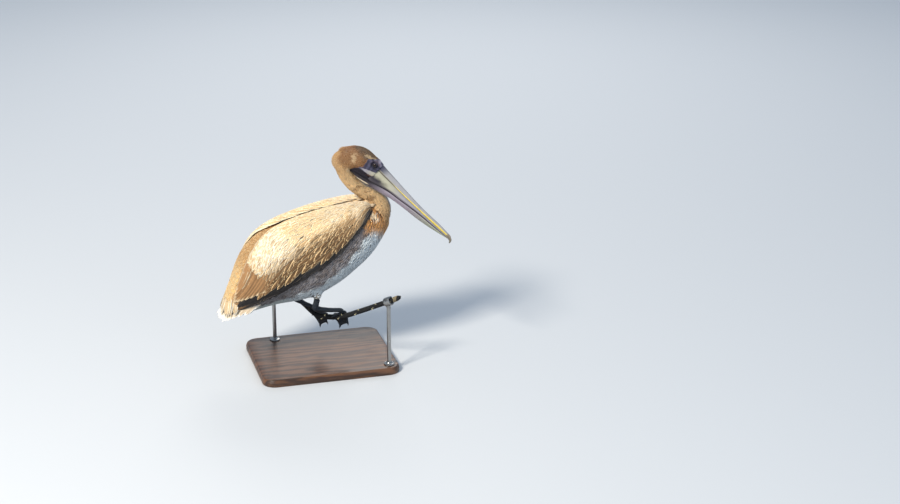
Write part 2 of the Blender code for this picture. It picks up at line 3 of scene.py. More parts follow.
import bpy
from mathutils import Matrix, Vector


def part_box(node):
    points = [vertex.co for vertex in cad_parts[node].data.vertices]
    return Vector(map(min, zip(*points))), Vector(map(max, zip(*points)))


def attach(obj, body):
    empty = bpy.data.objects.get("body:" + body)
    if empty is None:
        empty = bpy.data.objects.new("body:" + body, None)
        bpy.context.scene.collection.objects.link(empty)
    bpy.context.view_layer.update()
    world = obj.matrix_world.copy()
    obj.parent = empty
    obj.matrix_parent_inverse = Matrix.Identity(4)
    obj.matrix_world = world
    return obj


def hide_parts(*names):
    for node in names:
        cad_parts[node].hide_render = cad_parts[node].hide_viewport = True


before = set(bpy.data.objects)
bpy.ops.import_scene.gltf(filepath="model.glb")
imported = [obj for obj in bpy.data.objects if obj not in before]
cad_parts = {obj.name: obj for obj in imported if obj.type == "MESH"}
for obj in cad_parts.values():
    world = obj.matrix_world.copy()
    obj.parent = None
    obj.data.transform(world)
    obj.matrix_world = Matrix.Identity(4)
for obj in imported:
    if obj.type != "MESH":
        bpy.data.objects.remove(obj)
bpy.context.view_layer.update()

from math import atan2, cos, degrees, pi, radians, sin, sqrt

import bmesh
import bpy
import numpy as np
from mathutils import Vector
from mathutils.bvhtree import BVHTree

scene = bpy.context.scene
MM = 0.001


# ---------------------------------------------------------------- camera
def make_camera():
    a, e = radians(-15.5), radians(20.0)
    back = Vector((sin(a) * cos(e), -cos(a) * cos(e), sin(e)))
    data = bpy.data.cameras.new("camera")
    data.lens = 80.0
    data.sensor_width = 36.0
    data.clip_start, data.clip_end = 0.1, 60.0
    cam = bpy.data.objects.new("camera", data)
    scene.collection.objects.link(cam)
    cam.location = (-1.13278, -5.55672, 2.40975)
    cam.rotation_mode = "QUATERNION"
    cam.rotation_quaternion = (-back).to_track_quat("-Z", "Y")
    scene.camera = cam


make_camera()


# ---------------------------------------------------------------- the bird's own coordinates, as the solids have them
PERCH = np.array((0.030, 0.0, 0.140))
PITCH = radians(34.0)
AXIS = np.array((cos(PITCH), 0.0, sin(PITCH)))  # rump to breast
UPWARD = np.array((-sin(PITCH), 0.0, cos(PITCH)))
YAW, BILL_PITCH = radians(-30.0), radians(38.6)
HEAD_PIVOT, BILL_BASE = 65.0, (72.4, 460.9)

TRUNK = [
    (-215, 226, 34, 36, 38),
    (-190, 229, 48, 50, 48),
    (-150, 235, 70, 72, 58),
    (-100, 240, 98, 98, 72),
    (-50, 235, 118, 121, 86),
    (0, 223, 129, 131, 95),
    (50, 214, 128, 131, 99),
    (100, 204, 123, 125, 99),
    (150, 196, 112, 113, 96),
    (200, 188, 98, 100, 90),
    (255, 182, 74, 77, 78),
    (300, 180, 50, 54, 60),
]
NECK = [
    (128, 300, 42, 46, 40, 46),
    (150, 320, 58, 44, 34, 43),
    (158, 342, 84, 36, 30, 38),
    (151, 362, 118, 30, 27, 33),
    (133, 378, 141, 27, 25, 30),
    (112, 391, 146, 24.5, 23.5, 27.5),
    (90, 406, 141, 23, 23, 26),
    (71, 424, 130, 22, 22, 25),
    (57, 445, 116, 22, 22.5, 25),
    (49, 468, 102, 22, 24, 26),
    (46, 488, 92, 20, 22, 24),
]
HEAD = [
    (-121, -30, -43, 7),
    (-116, -15, -56, 16),
    (-104, 10, -67, 24),
    (-88, 30, -70, 28.5),
    (-68, 42.5, -63, 30),
    (-57, 45.5, -46, 29.6),
    (-49, 46.8, -31.6, 29),
    (-30, 46.8, -26.2, 26.5),
    (-10, 45.0, -21.8, 24),
    (3, 43.5, -18.8, 22.3),
    (12, 42.0, -17, 21),
]
MOUTH = [(-60, -37), (-43, -30.5), (0, -20.5), (30, -14), (75, -5), (120, -2), (155, 0.5), (208, 2.5), (242, 2.5), (281, 2.5), (300, 1.0)]
UPPER = [
    (12.5, 25, 41, 13, 21, 0),
    (34, 22, 37.5, 11, 20, 0),
    (60, 19, 34, 9, 18.5, 0),
    (90, 16, 29.5, 7.6, 17.4, 0),
    (120, 13.5, 25.6, 6.8, 16.6, 0),
    (155, 11.5, 21, 6.2, 15.6, 0),
    (190, 9.5, 17.4, 5.8, 14.8, 0),
    (225, 8, 16, 5.4, 14.6, 0),
    (255, 7, 14.6, 5.0, 14.6, 0),
    (280, 6, 12, 4.6, 13.6, 0),
    (293, 5.2, 10.4, 4.2, 11.6, 6),
    (301, 4.6, 9.2, 3.6, 9.2, 24),
]
NAIL = [(306.5, -3.0, 6.6, 6.2, 52), (309.5, -7.6, 4.4, 4.2, 74), (310.6, -11.4, 2.0, 2.0, 84)]
LOWER = [
    (-47.5, -38, 19.5),
    (-36, -41, 20.5),
    (-10, -41.5, 21.5),
    (10, -39.5, 21.0),
    (36, -35, 19.6),
    (62, -30.5, 18.2),
    (92, -24.5, 16.8),
    (134, -20.5, 15.2),
    (190, -18.5, 13.6),
    (240, -12.5, 12.0),
    (275, -6.6, 10.0),
    (292, -3.6, 7.2),
    (300, -2.2, 4.6),
]
EYE_AT = (-6.0, 31.0, 14.6)
EYE_RADIUS = 7.6
WING = [
    (303, 219, 27, 6),
    (299, 216, 20, 13),
    (290, 214, 14, 19),
    (275, 213, 10, 22),
    (258, 211, 8, 23),
    (225, 205, 7, 22),
    (195, 199, 7, 21),
    (160, 193, 7, 20),
    (123, 189, 7, 19),
    (90, 188, 8, 18),
    (61, 188, 10, 17.5),
    (30, 189, 15, 17),
    (0, 190, 25, 17),
    (-30, 191, 36, 16),
    (-60, 192, 45, 15),
    (-93, 194, 49, 13),
    (-125, 197, 48, 12),
    (-155, 200, 43, 10),
    (-180, 204, 37, 8),
    (-202, 208, 31, 5),
]
TAIL_ROOT, TAIL_TIP = (-104.0, 256.0), (-265.0, 221.0)
TAIL_HALF, TAIL_DROP, TAIL_ROLL = (50.0, 69.0), (84.0, 20.0), 0.13
LEG_RIGHT = [(-50.3, -48.9, 78), (-54, -46.5, 60), (-54, -43.5, 49), (-43, -41, 42), (-14, -37.2, 35.5), (8, -35, 32), (22, -34, 30), (31, -33.2, 27)]
LEG_LEFT = [(-113.4, 52.8, 83), (-116, 51, 70), (-116, 49, 61), (-106, 46, 54), (-82, 40, 40), (-62, 35.5, 29.5), (-46, 32, 22), (-36, 30.3, 14.4)]
LEG_RADII = [9.0, 9.4, 10.2, 9.0, 7.2, 6.8, 6.8, 5.2]
TOES = [(-95.0, 38.0, 3.8), (-28.0, 61.0, 4.3), (0.0, 75.0, 4.6), (26.0, 64.0, 4.4)]
FOOT_HEADING = {1: 51.0, -1: 67.0}
FOOT_BACK, STANCE = 3.0, 45.0
ROPE = [(-330, 167), (-200, 88), (-100, 26), (-47, -6), (0, -3), (45, 8), (100, 33), (200, 83), (330, 149)]
ROPE_HEADING = (0.7236, -0.6902)
ROPE_RADIUS, ROPE_END, ROD_AT, CLAMP_RADIUS = 9.0, 245.0, 205.0, 14.0


def curve(stations, column, at):
    xs = np.array([row[0] for row in stations], float)
    ys = np.array([row[column] for row in stations], float)
    if xs[0] > xs[-1]:
        xs, ys = xs[::-1], ys[::-1]
    at = np.clip(np.asarray(at, float), xs[0], xs[-1])
    step = np.diff(xs)
    slope = np.diff(ys) / step
    tangent = np.empty_like(ys)
    tangent[0], tangent[-1] = slope[0], slope[-1]
    tangent[1:-1] = (slope[:-1] * step[1:] + slope[1:] * step[:-1]) / (step[:-1] + step[1:])
    i = np.clip(np.searchsorted(xs, at, side="right") - 1, 0, len(xs) - 2)
    h = step[i]
    f = (at - xs[i]) / h
    return (
        ys[i] * (2 * f**3 - 3 * f**2 + 1)
        + tangent[i] * h * (f**3 - 2 * f**2 + f)
        + ys[i + 1] * (3 * f**2 - 2 * f**3)
        + tangent[i + 1] * h * (f**3 - f**2)
    )


def body_point(s, t, y):
    s, t, y = np.broadcast_arrays(np.asarray(s, float), t, y)
    return PERCH + (s[..., None] * AXIS + t[..., None] * UPWARD + y[..., None] * np.array((0.0, 1.0, 0.0))) * MM


def to_body(p):
    d = (np.asarray(p) - PERCH) / MM
    return d @ AXIS, d @ UPWARD, d[..., 1]


def head_point(u, v, w):
    u, v, w = np.broadcast_arrays(np.asarray(u, float), v, w)
    q = BILL_BASE[0] + u * cos(BILL_PITCH) + v * sin(BILL_PITCH)
    z = BILL_BASE[1] - u * sin(BILL_PITCH) + v * cos(BILL_PITCH)
    x = HEAD_PIVOT + q * cos(YAW) - w * sin(YAW)
    y = q * sin(YAW) + w * cos(YAW)
    return PERCH + np.stack([x, y, z], -1) * MM


def to_head(p):
    d = (np.asarray(p) - PERCH) / MM
    x, y = d[..., 0] - HEAD_PIVOT, d[..., 1]
    q, w = x * cos(YAW) + y * sin(YAW), -x * sin(YAW) + y * cos(YAW)
    q, z = q - BILL_BASE[0], d[..., 2] - BILL_BASE[1]
    return q * cos(BILL_PITCH) - z * sin(BILL_PITCH), q * sin(BILL_PITCH) + z * cos(BILL_PITCH), w


HEAD_U = np.array((cos(BILL_PITCH) * cos(YAW), cos(BILL_PITCH) * sin(YAW), -sin(BILL_PITCH)))
HEAD_V = np.array((sin(BILL_PITCH) * cos(YAW), sin(BILL_PITCH) * sin(YAW), cos(BILL_PITCH)))


def signed_power(value, power):
    return np.sign(value) * np.abs(value) ** power


def trunk_section(s, angle, grow=0.0):
    c, up, low, side = (curve(TRUNK, k, s) for k in (1, 2, 3, 4))
    top = np.cos(angle) >= 0
    power = np.where(top, 2.3, 2.1)
    half = np.where(top, up, low)
    t, y = half * signed_power(np.cos(angle), 2 / power), side * signed_power(np.sin(angle), 2 / power)
    nt = signed_power(t / half, power - 1) / half
    ny = signed_power(y / side, power - 1) / side
    size = np.sqrt(nt**2 + ny**2) + 1e-12
    return c + t + grow * nt / size, y + grow * ny / size


def angle_at_side(s, y):
    return np.arcsin(np.clip(y / curve(TRUNK, 4, s), 0, 0.9999) ** 1.15)


def angle_at_height(s, t):
    c, up, low = (curve(TRUNK, k, s) for k in (1, 2, 3))
    above = t >= c
    half = np.where(above, up, low)
    f = np.clip(np.abs(t - c) / half, 0, 0.9999) ** (np.where(above, 2.3, 2.1) / 2)
    return np.where(above, np.arccos(f), pi - np.arccos(f))


def wing_surface(s, b, lift=0.0):
    """Outer face of the left folded wing; b runs from its upper edge, 0, to its lower edge, 1."""
    s, b, lift = np.broadcast_arrays(np.asarray(s, float), b, lift)
    high, low = angle_at_side(s, curve(WING, 2, s)), angle_at_height(s, curve(WING, 1, s))
    lens = 0.30 + 0.70 * np.clip(1 - np.abs(2 * np.clip(b, 0, 1) - 1) ** 3.0, 0, 1)
    t, y = trunk_section(s, high + (low - high) * b, 1.3 + curve(WING, 3, s) * lens + lift)
    return body_point(s, t, y)


def unit(v):
    return v / np.maximum(np.linalg.norm(v, axis=-1, keepdims=True), 1e-12)


def smoothstep(a, b, x):
    f = np.clip((np.asarray(x, float) - a) / (b - a), 0, 1)
    return f * f * (3 - 2 * f)


def mix(a, b, f):
    f = np.asarray(f, float)[..., None]
    return np.asarray(a, float) * (1 - f) + np.asarray(b, float) * f


def lin(r, g, b):
    """Linear colour of an everyday one given in steps of 1/255."""
    c = np.array((r, g, b), float) / 255
    return np.where(c <= 0.04045, c / 12.92, ((c + 0.055) / 1.055) ** 2.4)


def wave_noise(p, scale, seed):
    """Smooth value from -1 to 1 at each point, from a few crossed waves."""
    rng = np.random.default_rng(seed)
    out = np.zeros(p.shape[:-1])
    for k in range(7):
        d = unit(rng.normal(size=3)) * (0.6 + 0.9 * rng.random()) * 2 * pi / scale
        out += np.sin(p @ d + rng.random() * 6.28 + 1.7 * np.sin(p @ (unit(rng.normal(size=3)) * 2 * pi / scale * 0.45)))
    return out / 7 * 1.6


# ---------------------------------------------------------------- meshes
def cad_arrays(*names):
    points, faces, base = [], [], 0
    for name in names:
        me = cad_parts[name].data
        me.calc_loop_triangles()
        v = np.empty(len(me.vertices) * 3, np.float32)
        me.vertices.foreach_get("co", v)
        f = np.empty(len(me.loop_triangles) * 3, np.int32)
        me.loop_triangles.foreach_get("vertices", f)
        points.append(v.reshape(-1, 3).astype(float))
        faces.append(f.reshape(-1, 3) + base)
        base += len(me.vertices)
    return np.concatenate(points), np.concatenate(faces)


def raw_mesh(name, points, quads=None, tris=None, ngons=None, smooth=True):
    """Mesh from arrays: points (n, 3), quads (m, 4), tris (k, 3) and equal-sided ngons (j, c)."""
    me = bpy.data.meshes.new(name)
    groups = [np.asarray(g, np.int32) for g in (quads, tris, ngons) if g is not None and len(g)]
    loops = np.concatenate([g.ravel() for g in groups])
    totals = np.concatenate([np.full(len(g), g.shape[1], np.int32) for g in groups])
    me.vertices.add(len(points))
    me.vertices.foreach_set("co", np.asarray(points, np.float32).ravel())
    me.loops.add(len(loops))
    me.loops.foreach_set("vertex_index", loops)
    me.polygons.add(len(totals))
    me.polygons.foreach_set("loop_start", np.concatenate([[0], np.cumsum(totals)[:-1]]).astype(np.int32))
    me.update(calc_edges=True)
    me.polygons.foreach_set("use_smooth", np.full(len(totals), smooth))
    return me


def add_object(name, me, mats, body="root"):
    ob = bpy.data.objects.new(name, me)
    scene.collection.objects.link(ob)
    for m in mats if isinstance(mats, (list, tuple)) else [mats]:
        me.materials.append(m)
    if body:
        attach(ob, body)
    return ob


def remesh(points, tris, voxel):
    """Closed quad skin round all the given closed shapes."""
    ob = bpy.data.objects.new("to_remesh", raw_mesh("to_remesh", points, tris=tris))
    scene.collection.objects.link(ob)
    m = ob.modifiers.new("remesh", "REMESH")
    m.mode, m.voxel_size, m.adaptivity = "VOXEL", voxel, 0.0
    me = ob.evaluated_get(bpy.context.evaluated_depsgraph_get()).to_mesh()
    v = np.empty(len(me.vertices) * 3, np.float32)
    me.vertices.foreach_get("co", v)
    f = np.empty(len(me.loops), np.int32)
    me.loops.foreach_get("vertex_index", f)
    source = ob.data
    bpy.data.objects.remove(ob)
    bpy.data.meshes.remove(source)
    return v.reshape(-1, 3).astype(float), f.reshape(-1, 4)


def quad_edges(quads):
    e = np.concatenate([quads[:, [0, 1]], quads[:, [1, 2]], quads[:, [2, 3]], quads[:, [3, 0]]])
    return np.unique(np.sort(e, axis=1), axis=0)


def relax(values, edges, times, factor=0.5):
    """Averages values at vertices with their neighbours'."""
    n = len(values)
    count = np.bincount(edges.ravel(), minlength=n).astype(float)[:, None]
    for _ in range(times):
        total = np.stack(
            [np.bincount(edges[:, 0], values[edges[:, 1], k], n) + np.bincount(edges[:, 1], values[edges[:, 0], k], n) for k in range(values.shape[1])],
            1,
        )
        values = values * (1 - factor) + factor * total / count
    return values


def quad_normals(points, quads):
    """(per vertex, per face)"""
    a, b, c, d = (points[quads[:, k]] for k in range(4))
    face = np.cross(c - a, d - b)
    vertex = np.stack([sum(np.bincount(quads[:, k], face[:, j], len(points)) for k in range(4)) for j in range(3)], 1)
    vertex = unit(vertex)
    return vertex, unit(vertex[quads].sum(1))


def tree_of(points, faces):
    return BVHTree.FromPolygons([tuple(p) for p in points.tolist()], faces.tolist())


def distances(tree, points):
    return np.array([tree.find_nearest(p)[3] for p in points.tolist()])


def give(me, name, values, kind):
    """Stores one value per vertex: kind is FLOAT, FLOAT_VECTOR or FLOAT_COLOR."""
    a = me.attributes.new(name, kind, "POINT")
    v = np.asarray(values, np.float32)
    if kind == "FLOAT_COLOR" and v.shape[-1] == 3:
        v = np.concatenate([v, np.ones((len(v), 1), np.float32)], 1)
    a.data.foreach_set("value" if kind == "FLOAT" else ("vector" if kind == "FLOAT_VECTOR" else "color"), v.ravel())


def give_map(me, uv):
    """The bake's map, from one place per vertex."""
    layer = me.uv_layers.new(name="OFBake")
    index = np.empty(len(me.loops), np.int32)
    me.loops.foreach_get("vertex_index", index)
    layer.data.foreach_set("uv", np.asarray(uv, np.float32)[index].ravel())


# ---------------------------------------------------------------- the surface that the plumage lies on
def build_guide():
    """Smooth outer surface of trunk, neck, head and thighs, with the lie of the plumage at each point."""
    points, tris = cad_arrays("trunk", "neck_lower", "neck_upper", "head", "thigh_left", "thigh_right")
    v, q = remesh(points, tris, 0.0035)
    v = relax(v, quad_edges(q), 12)
    edges = quad_edges(q)
    groups = {name: tree_of(*cad_arrays(*nodes)) for name, nodes in (("trunk", ["trunk"]), ("neck", ["neck_lower", "neck_upper"]), ("head", ["head"]), ("thigh", ["thigh_left", "thigh_right"]))}
    gaps = np.stack([distances(groups[g], v) for g in ("trunk", "neck", "head", "thigh")], 1)
    gaps[:, 0] -= 0.001
    label = gaps.argmin(1)
    normal, _ = quad_normals(v, q)
    s, t, y = to_body(v)
    lie = np.tile(-AXIS, (len(v), 1))
    front = smoothstep(215, 300, s)[:, None]
    lie += front * np.array((0.2, 0.0, -1.5)) + front * np.stack([0 * y, np.sign(y) * 0.25 * smoothstep(5, 50, np.abs(y)), 0 * y], 1)
    belly = smoothstep(60, -60, t - curve(TRUNK, 1, s))[:, None]
    lie += -0.12 * (1 - belly) * UPWARD
    # along the neck toward the body
    rows = np.array(NECK, float)
    ks = np.linspace(0, len(rows) - 1, 120)
    table = [tuple([i, *row]) for i, row in enumerate(NECK)]
    line = np.stack([PERCH[0] + curve(table, 1, ks) * MM, np.zeros(120), PERCH[2] + curve(table, 2, ks) * MM], 1)
    ahead = curve(table, 3, ks)
    nearest = ((v[:, None, :] - line[None]) ** 2).sum(2).argmin(1)
    h = np.radians(ahead[nearest])
    down_neck = -np.stack([np.cos(h), 0 * h, np.sin(h)], 1)
    lie[label == 1] = down_neck[label == 1]
    u, hv, hw = to_head(v)
    back = -HEAD_U[None] * (1 - 0.7 * smoothstep(-92, -116, u))[:, None] - HEAD_V[None] * (1.3 * smoothstep(-84, -116, u) * smoothstep(34, 10, hv) + 0.25 * smoothstep(10, -40, hv) * smoothstep(-20, -70, u))[:, None]
    lie[label == 2] = back[label == 2]
    lie[label == 3] = np.array((-0.35, 0.0, -1.0))
    lie = relax(unit(lie), edges, 14)
    lie = unit(lie - normal * (lie * normal).sum(1, keepdims=True))
    _, face_normal = quad_normals(v, q)
    return dict(v=v, q=q, normal=normal, lie=lie, label=label, tree=tree_of(v, q), face_normal=face_normal, face_lie=unit(lie[q].sum(1)), face_label=np.array([np.bincount(r, minlength=4).argmax() for r in label[q]]))


guide = build_guide()


def lay(roots, aim, length, steps, follow=0.35, cling=1.0):
    """Marches from each root over the surface. aim turns each feather from the lie, in radians. Returns spines and normals."""
    n = len(roots)
    tree, fn, fl = guide["tree"], guide["face_normal"].tolist(), guide["face_lie"].tolist()
    spine, up = np.empty((n, steps + 1, 3)), np.empty((n, steps + 1, 3))
    cling = np.broadcast_to(cling, n)
    for i in range(n):
        loc, _, index, _ = tree.find_nearest(Vector(roots[i]))
        nor = Vector(fn[index])
        d = Vector(fl[index])
        side = nor.cross(d)
        d = (d * cos(aim[i]) + side * sin(aim[i])).normalized()
        h = float(length[i]) / steps
        hold = float(cling[i])
        spine[i, 0], up[i, 0] = loc, nor
        for k in range(steps):
            reach = loc + d * h
            near, _, index, _ = tree.find_nearest(reach)
            if index is None:
                near, index = reach, 0
            new_nor = Vector(fn[index])
            loc = reach.lerp(near, hold)
            nor = nor.lerp(new_nor, hold).normalized()
            d = d + (Vector(fl[index]) - d) * follow * hold
            d = (d - nor * d.dot(nor)).normalized()
            spine[i, k + 1], up[i, k + 1] = loc, nor
    return spine, up


SMALL = [(-1.0, 0), (0.0, 1), (1.0, 0), (0.0, -1)]
BROAD = [(-1.0, 0), (-0.62, 1), (-0.09, 1), (0.0, 1.9), (0.09, 1), (0.62, 1), (1.0, 0), (0.5, -1), (0.0, -1.3), (-0.5, -1)]


def vanes(spine, up, left, right, thick, camber, columns, roll=None):
    """Closed blades over spines (n, k, 3): half widths (n, k), thickness (n, 1) and camber (n, 1). Returns points (n, k * c, 3), their place along and across, and faces."""
    n, k, _ = spine.shape
    along = unit(np.gradient(spine, axis=1))
    side = unit(np.cross(along, up))
    top = np.cross(side, along)
    if roll is not None:
        c, s = np.cos(roll)[:, None, None], np.sin(roll)[:, None, None]
        side, top = side * c + top * s, top * c - side * s
    points = np.empty((n, k, len(columns), 3))
    for c, (x, layer) in enumerate(columns):
        half = left if x < 0 else right
        edge = np.sqrt(np.maximum(1 - abs(x) ** 3, 0.0)) if layer else 0.0
        z = -camber * x * x * half + 0.5 * layer * thick * edge
        points[:, :, c] = spine + side * (x * half)[..., None] + top * z[..., None]
    m = len(columns)
    quads = []
    for i in range(k - 1):
        for c in range(m):
            d = (c + 1) % m
            quads.append((i * m + c, i * m + d, (i + 1) * m + d, (i + 1) * m + c))
    caps = [tuple(range(m))[::-1], tuple((k - 1) * m + c for c in range(m))]
    # faces turn outward: test one blade's volume
    p = points[0].reshape(-1, 3)
    volume = 0.0
    for q in quads + caps:
        for j in range(1, len(q) - 1):
            volume += np.dot(p[q[0]], np.cross(p[q[j]], p[q[j + 1]]))
    if volume < 0:
        quads, caps = [q[::-1] for q in quads], [q[::-1] for q in caps]
    x = np.tile(np.array([c[0] for c in columns]), k)
    t = np.repeat(np.linspace(0, 1, k), m)
    return points.reshape(n, k * m, 3), t, x, np.array(quads), np.array(caps)


class Coat:
    """Gathers blades of one or more kinds into one piece."""

    def __init__(self, name):
        self.name, self.points, self.quads, self.caps, self.centre, self.rim, self.vane, self.uv, self.place, self.base, self.count = name, [], [], {}, [], [], [], [], [], 0, 0

    def add(self, spine, up, left, right, thick, camber, columns, centre, rim, place, size, seed, roll=None, along=None):
        n = len(spine)
        if n == 0:
            return
        points, t, x, quads, caps = vanes(spine, up, left, right, thick, camber, columns, roll)
        m = points.shape[1]
        t = np.broadcast_to(t if along is None else along, (n, m))
        x = np.broadcast_to(x, (n, m))
        start = self.base + np.arange(n)[:, None, None] * m
        self.points.append(points.reshape(-1, 3))
        self.quads.append((quads[None] + start).reshape(-1, 4))
        self.caps.setdefault(caps.shape[1], []).append((caps[None] + start).reshape(-1, caps.shape[1]))
        rnd = np.random.default_rng(seed).random(n)
        centre = np.asarray(centre, float)
        if centre.shape[1] == 3:
            centre = np.concatenate([centre, np.full((n, 1), 0.6)], 1)
        self.centre.append(np.repeat(centre, m, 0))
        self.rim.append(np.repeat(rim, m, 0))
        self.vane.append(np.stack([t, x, np.broadcast_to(rnd[:, None], (n, m))], -1).reshape(-1, 3))
        place = np.asarray(place, float)
        size = np.broadcast_to(size, n)[:, None]
        self.place.append(np.repeat(place, m, 0))
        self.uv.append(np.stack([x * 0.5 * size * 0.8, (t - 0.5) * size], -1).reshape(-1, 2))
        self.base += n * m
        self.count += n

    def finish(self, mat):
        quads = np.concatenate(self.quads)
        caps = {c: np.concatenate(f) for c, f in self.caps.items()}
        if 4 in caps:
            quads = np.concatenate([quads, caps.pop(4)])
        other = next(iter(caps.values())) if caps else None
        me = raw_mesh(self.name, np.concatenate(self.points), quads=quads, ngons=other)
        give(me, "centre", np.concatenate(self.centre), "FLOAT_COLOR")
        give(me, "rim", np.concatenate(self.rim), "FLOAT_COLOR")
        give(me, "vane", np.concatenate(self.vane), "FLOAT_VECTOR")
        place, offset = np.concatenate(self.place), np.concatenate(self.uv)
        low, high = place.min(0), place.max(0)
        pad = np.abs(offset).max(0) + 0.002
        give_map(me, pad + (place - low) / np.maximum(high - low, 1e-9) * (1 - 2 * pad) + offset)
        ob = add_object(self.name, me, mat)
        tris = 2 * len(quads) + (len(other) * (other.shape[1] - 2) if other is not None else 0)
        print(f"{self.name}: {self.count} blades, {tris} triangles")
        return ob


def profile(n, values, rng, wobble=0.06):
    """Half-width shares along a blade, a little different on each."""
    base = np.asarray(values, float)[None]
    return base * (1 + wobble * rng.normal(size=(n, base.shape[1])))


# ---------------------------------------------------------------- shaders
def nodes_of(name):
    mat = bpy.data.materials.new(name)
    mat.use_nodes = True
    nt = mat.node_tree
    nt.nodes.clear()
    out = nt.nodes.new("ShaderNodeOutputMaterial")
    bsdf = nt.nodes.new("ShaderNodeBsdfPrincipled")
    nt.links.new(bsdf.outputs[0], out.inputs[0])
    return mat, nt, bsdf


class Net:
    """Short calls for a material's nodes."""

    def __init__(self, nt):
        self.nt = nt

    def put(self, socket, value):
        if isinstance(value, bpy.types.NodeSocket):
            self.nt.links.new(value, socket)
        elif value is not None:
            socket.default_value = value

    def math(self, op, a, b=None, c=None, clamp=False):
        n = self.nt.nodes.new("ShaderNodeMath")
        n.operation, n.use_clamp = op, clamp
        for i, x in enumerate((a, b, c)):
            if x is not None:
                self.put(n.inputs[i], x)
        return n.outputs[0]

    def attr(self, name, out="Vector"):
        n = self.nt.nodes.new("ShaderNodeAttribute")
        n.attribute_name = name
        return n.outputs[out]

    def xyz(self, vector):
        n = self.nt.nodes.new("ShaderNodeSeparateXYZ")
        self.put(n.inputs[0], vector)
        return n.outputs

    def combine(self, x, y, z):
        n = self.nt.nodes.new("ShaderNodeCombineXYZ")
        for i, v in enumerate((x, y, z)):
            self.put(n.inputs[i], v)
        return n.outputs[0]

    def place(self):
        return self.nt.nodes.new("ShaderNodeTexCoord").outputs["Object"]

    def noise(self, vector, scale, detail=3.0, rough=0.55, distort=0.0):
        n = self.nt.nodes.new("ShaderNodeTexNoise")
        self.put(n.inputs["Vector"], vector)
        self.put(n.inputs["Scale"], scale)
        n.inputs["Detail"].default_value = detail
        n.inputs["Roughness"].default_value = rough
        n.inputs["Distortion"].default_value = distort
        return n.outputs["Fac"]

    def voronoi(self, vector, scale, feature="F1", out="Distance"):
        n = self.nt.nodes.new("ShaderNodeTexVoronoi")
        n.feature = feature
        self.put(n.inputs["Vector"], vector)
        self.put(n.inputs["Scale"], scale)
        return n.outputs[out]

    def ramp(self, value, low, high, to_low=0.0, to_high=1.0):
        n = self.nt.nodes.new("ShaderNodeMapRange")
        n.interpolation_type = "SMOOTHSTEP"
        self.put(n.inputs["Value"], value)
        for name, x in (("From Min", low), ("From Max", high), ("To Min", to_low), ("To Max", to_high)):
            self.put(n.inputs[name], x)
        return n.outputs["Result"]

    def mix(self, a, b, f, kind="MIX"):
        n = self.nt.nodes.new("ShaderNodeMix")
        n.data_type, n.blend_type = "RGBA", kind
        self.put(n.inputs[0], f)
        for socket, v in ((n.inputs[6], a), (n.inputs[7], b)):
            if isinstance(v, bpy.types.NodeSocket):
                self.nt.links.new(v, socket)
            else:
                socket.default_value = (*[float(c) for c in v][:3], 1.0)
        return n.outputs[2]

    def bump(self, height, distance, strength=1.0, normal=None):
        n = self.nt.nodes.new("ShaderNodeBump")
        n.inputs["Strength"].default_value = strength
        n.inputs["Distance"].default_value = distance
        self.put(n.inputs["Height"], height)
        if normal is not None:
            self.put(n.inputs["Normal"], normal)
        return n.outputs[0]


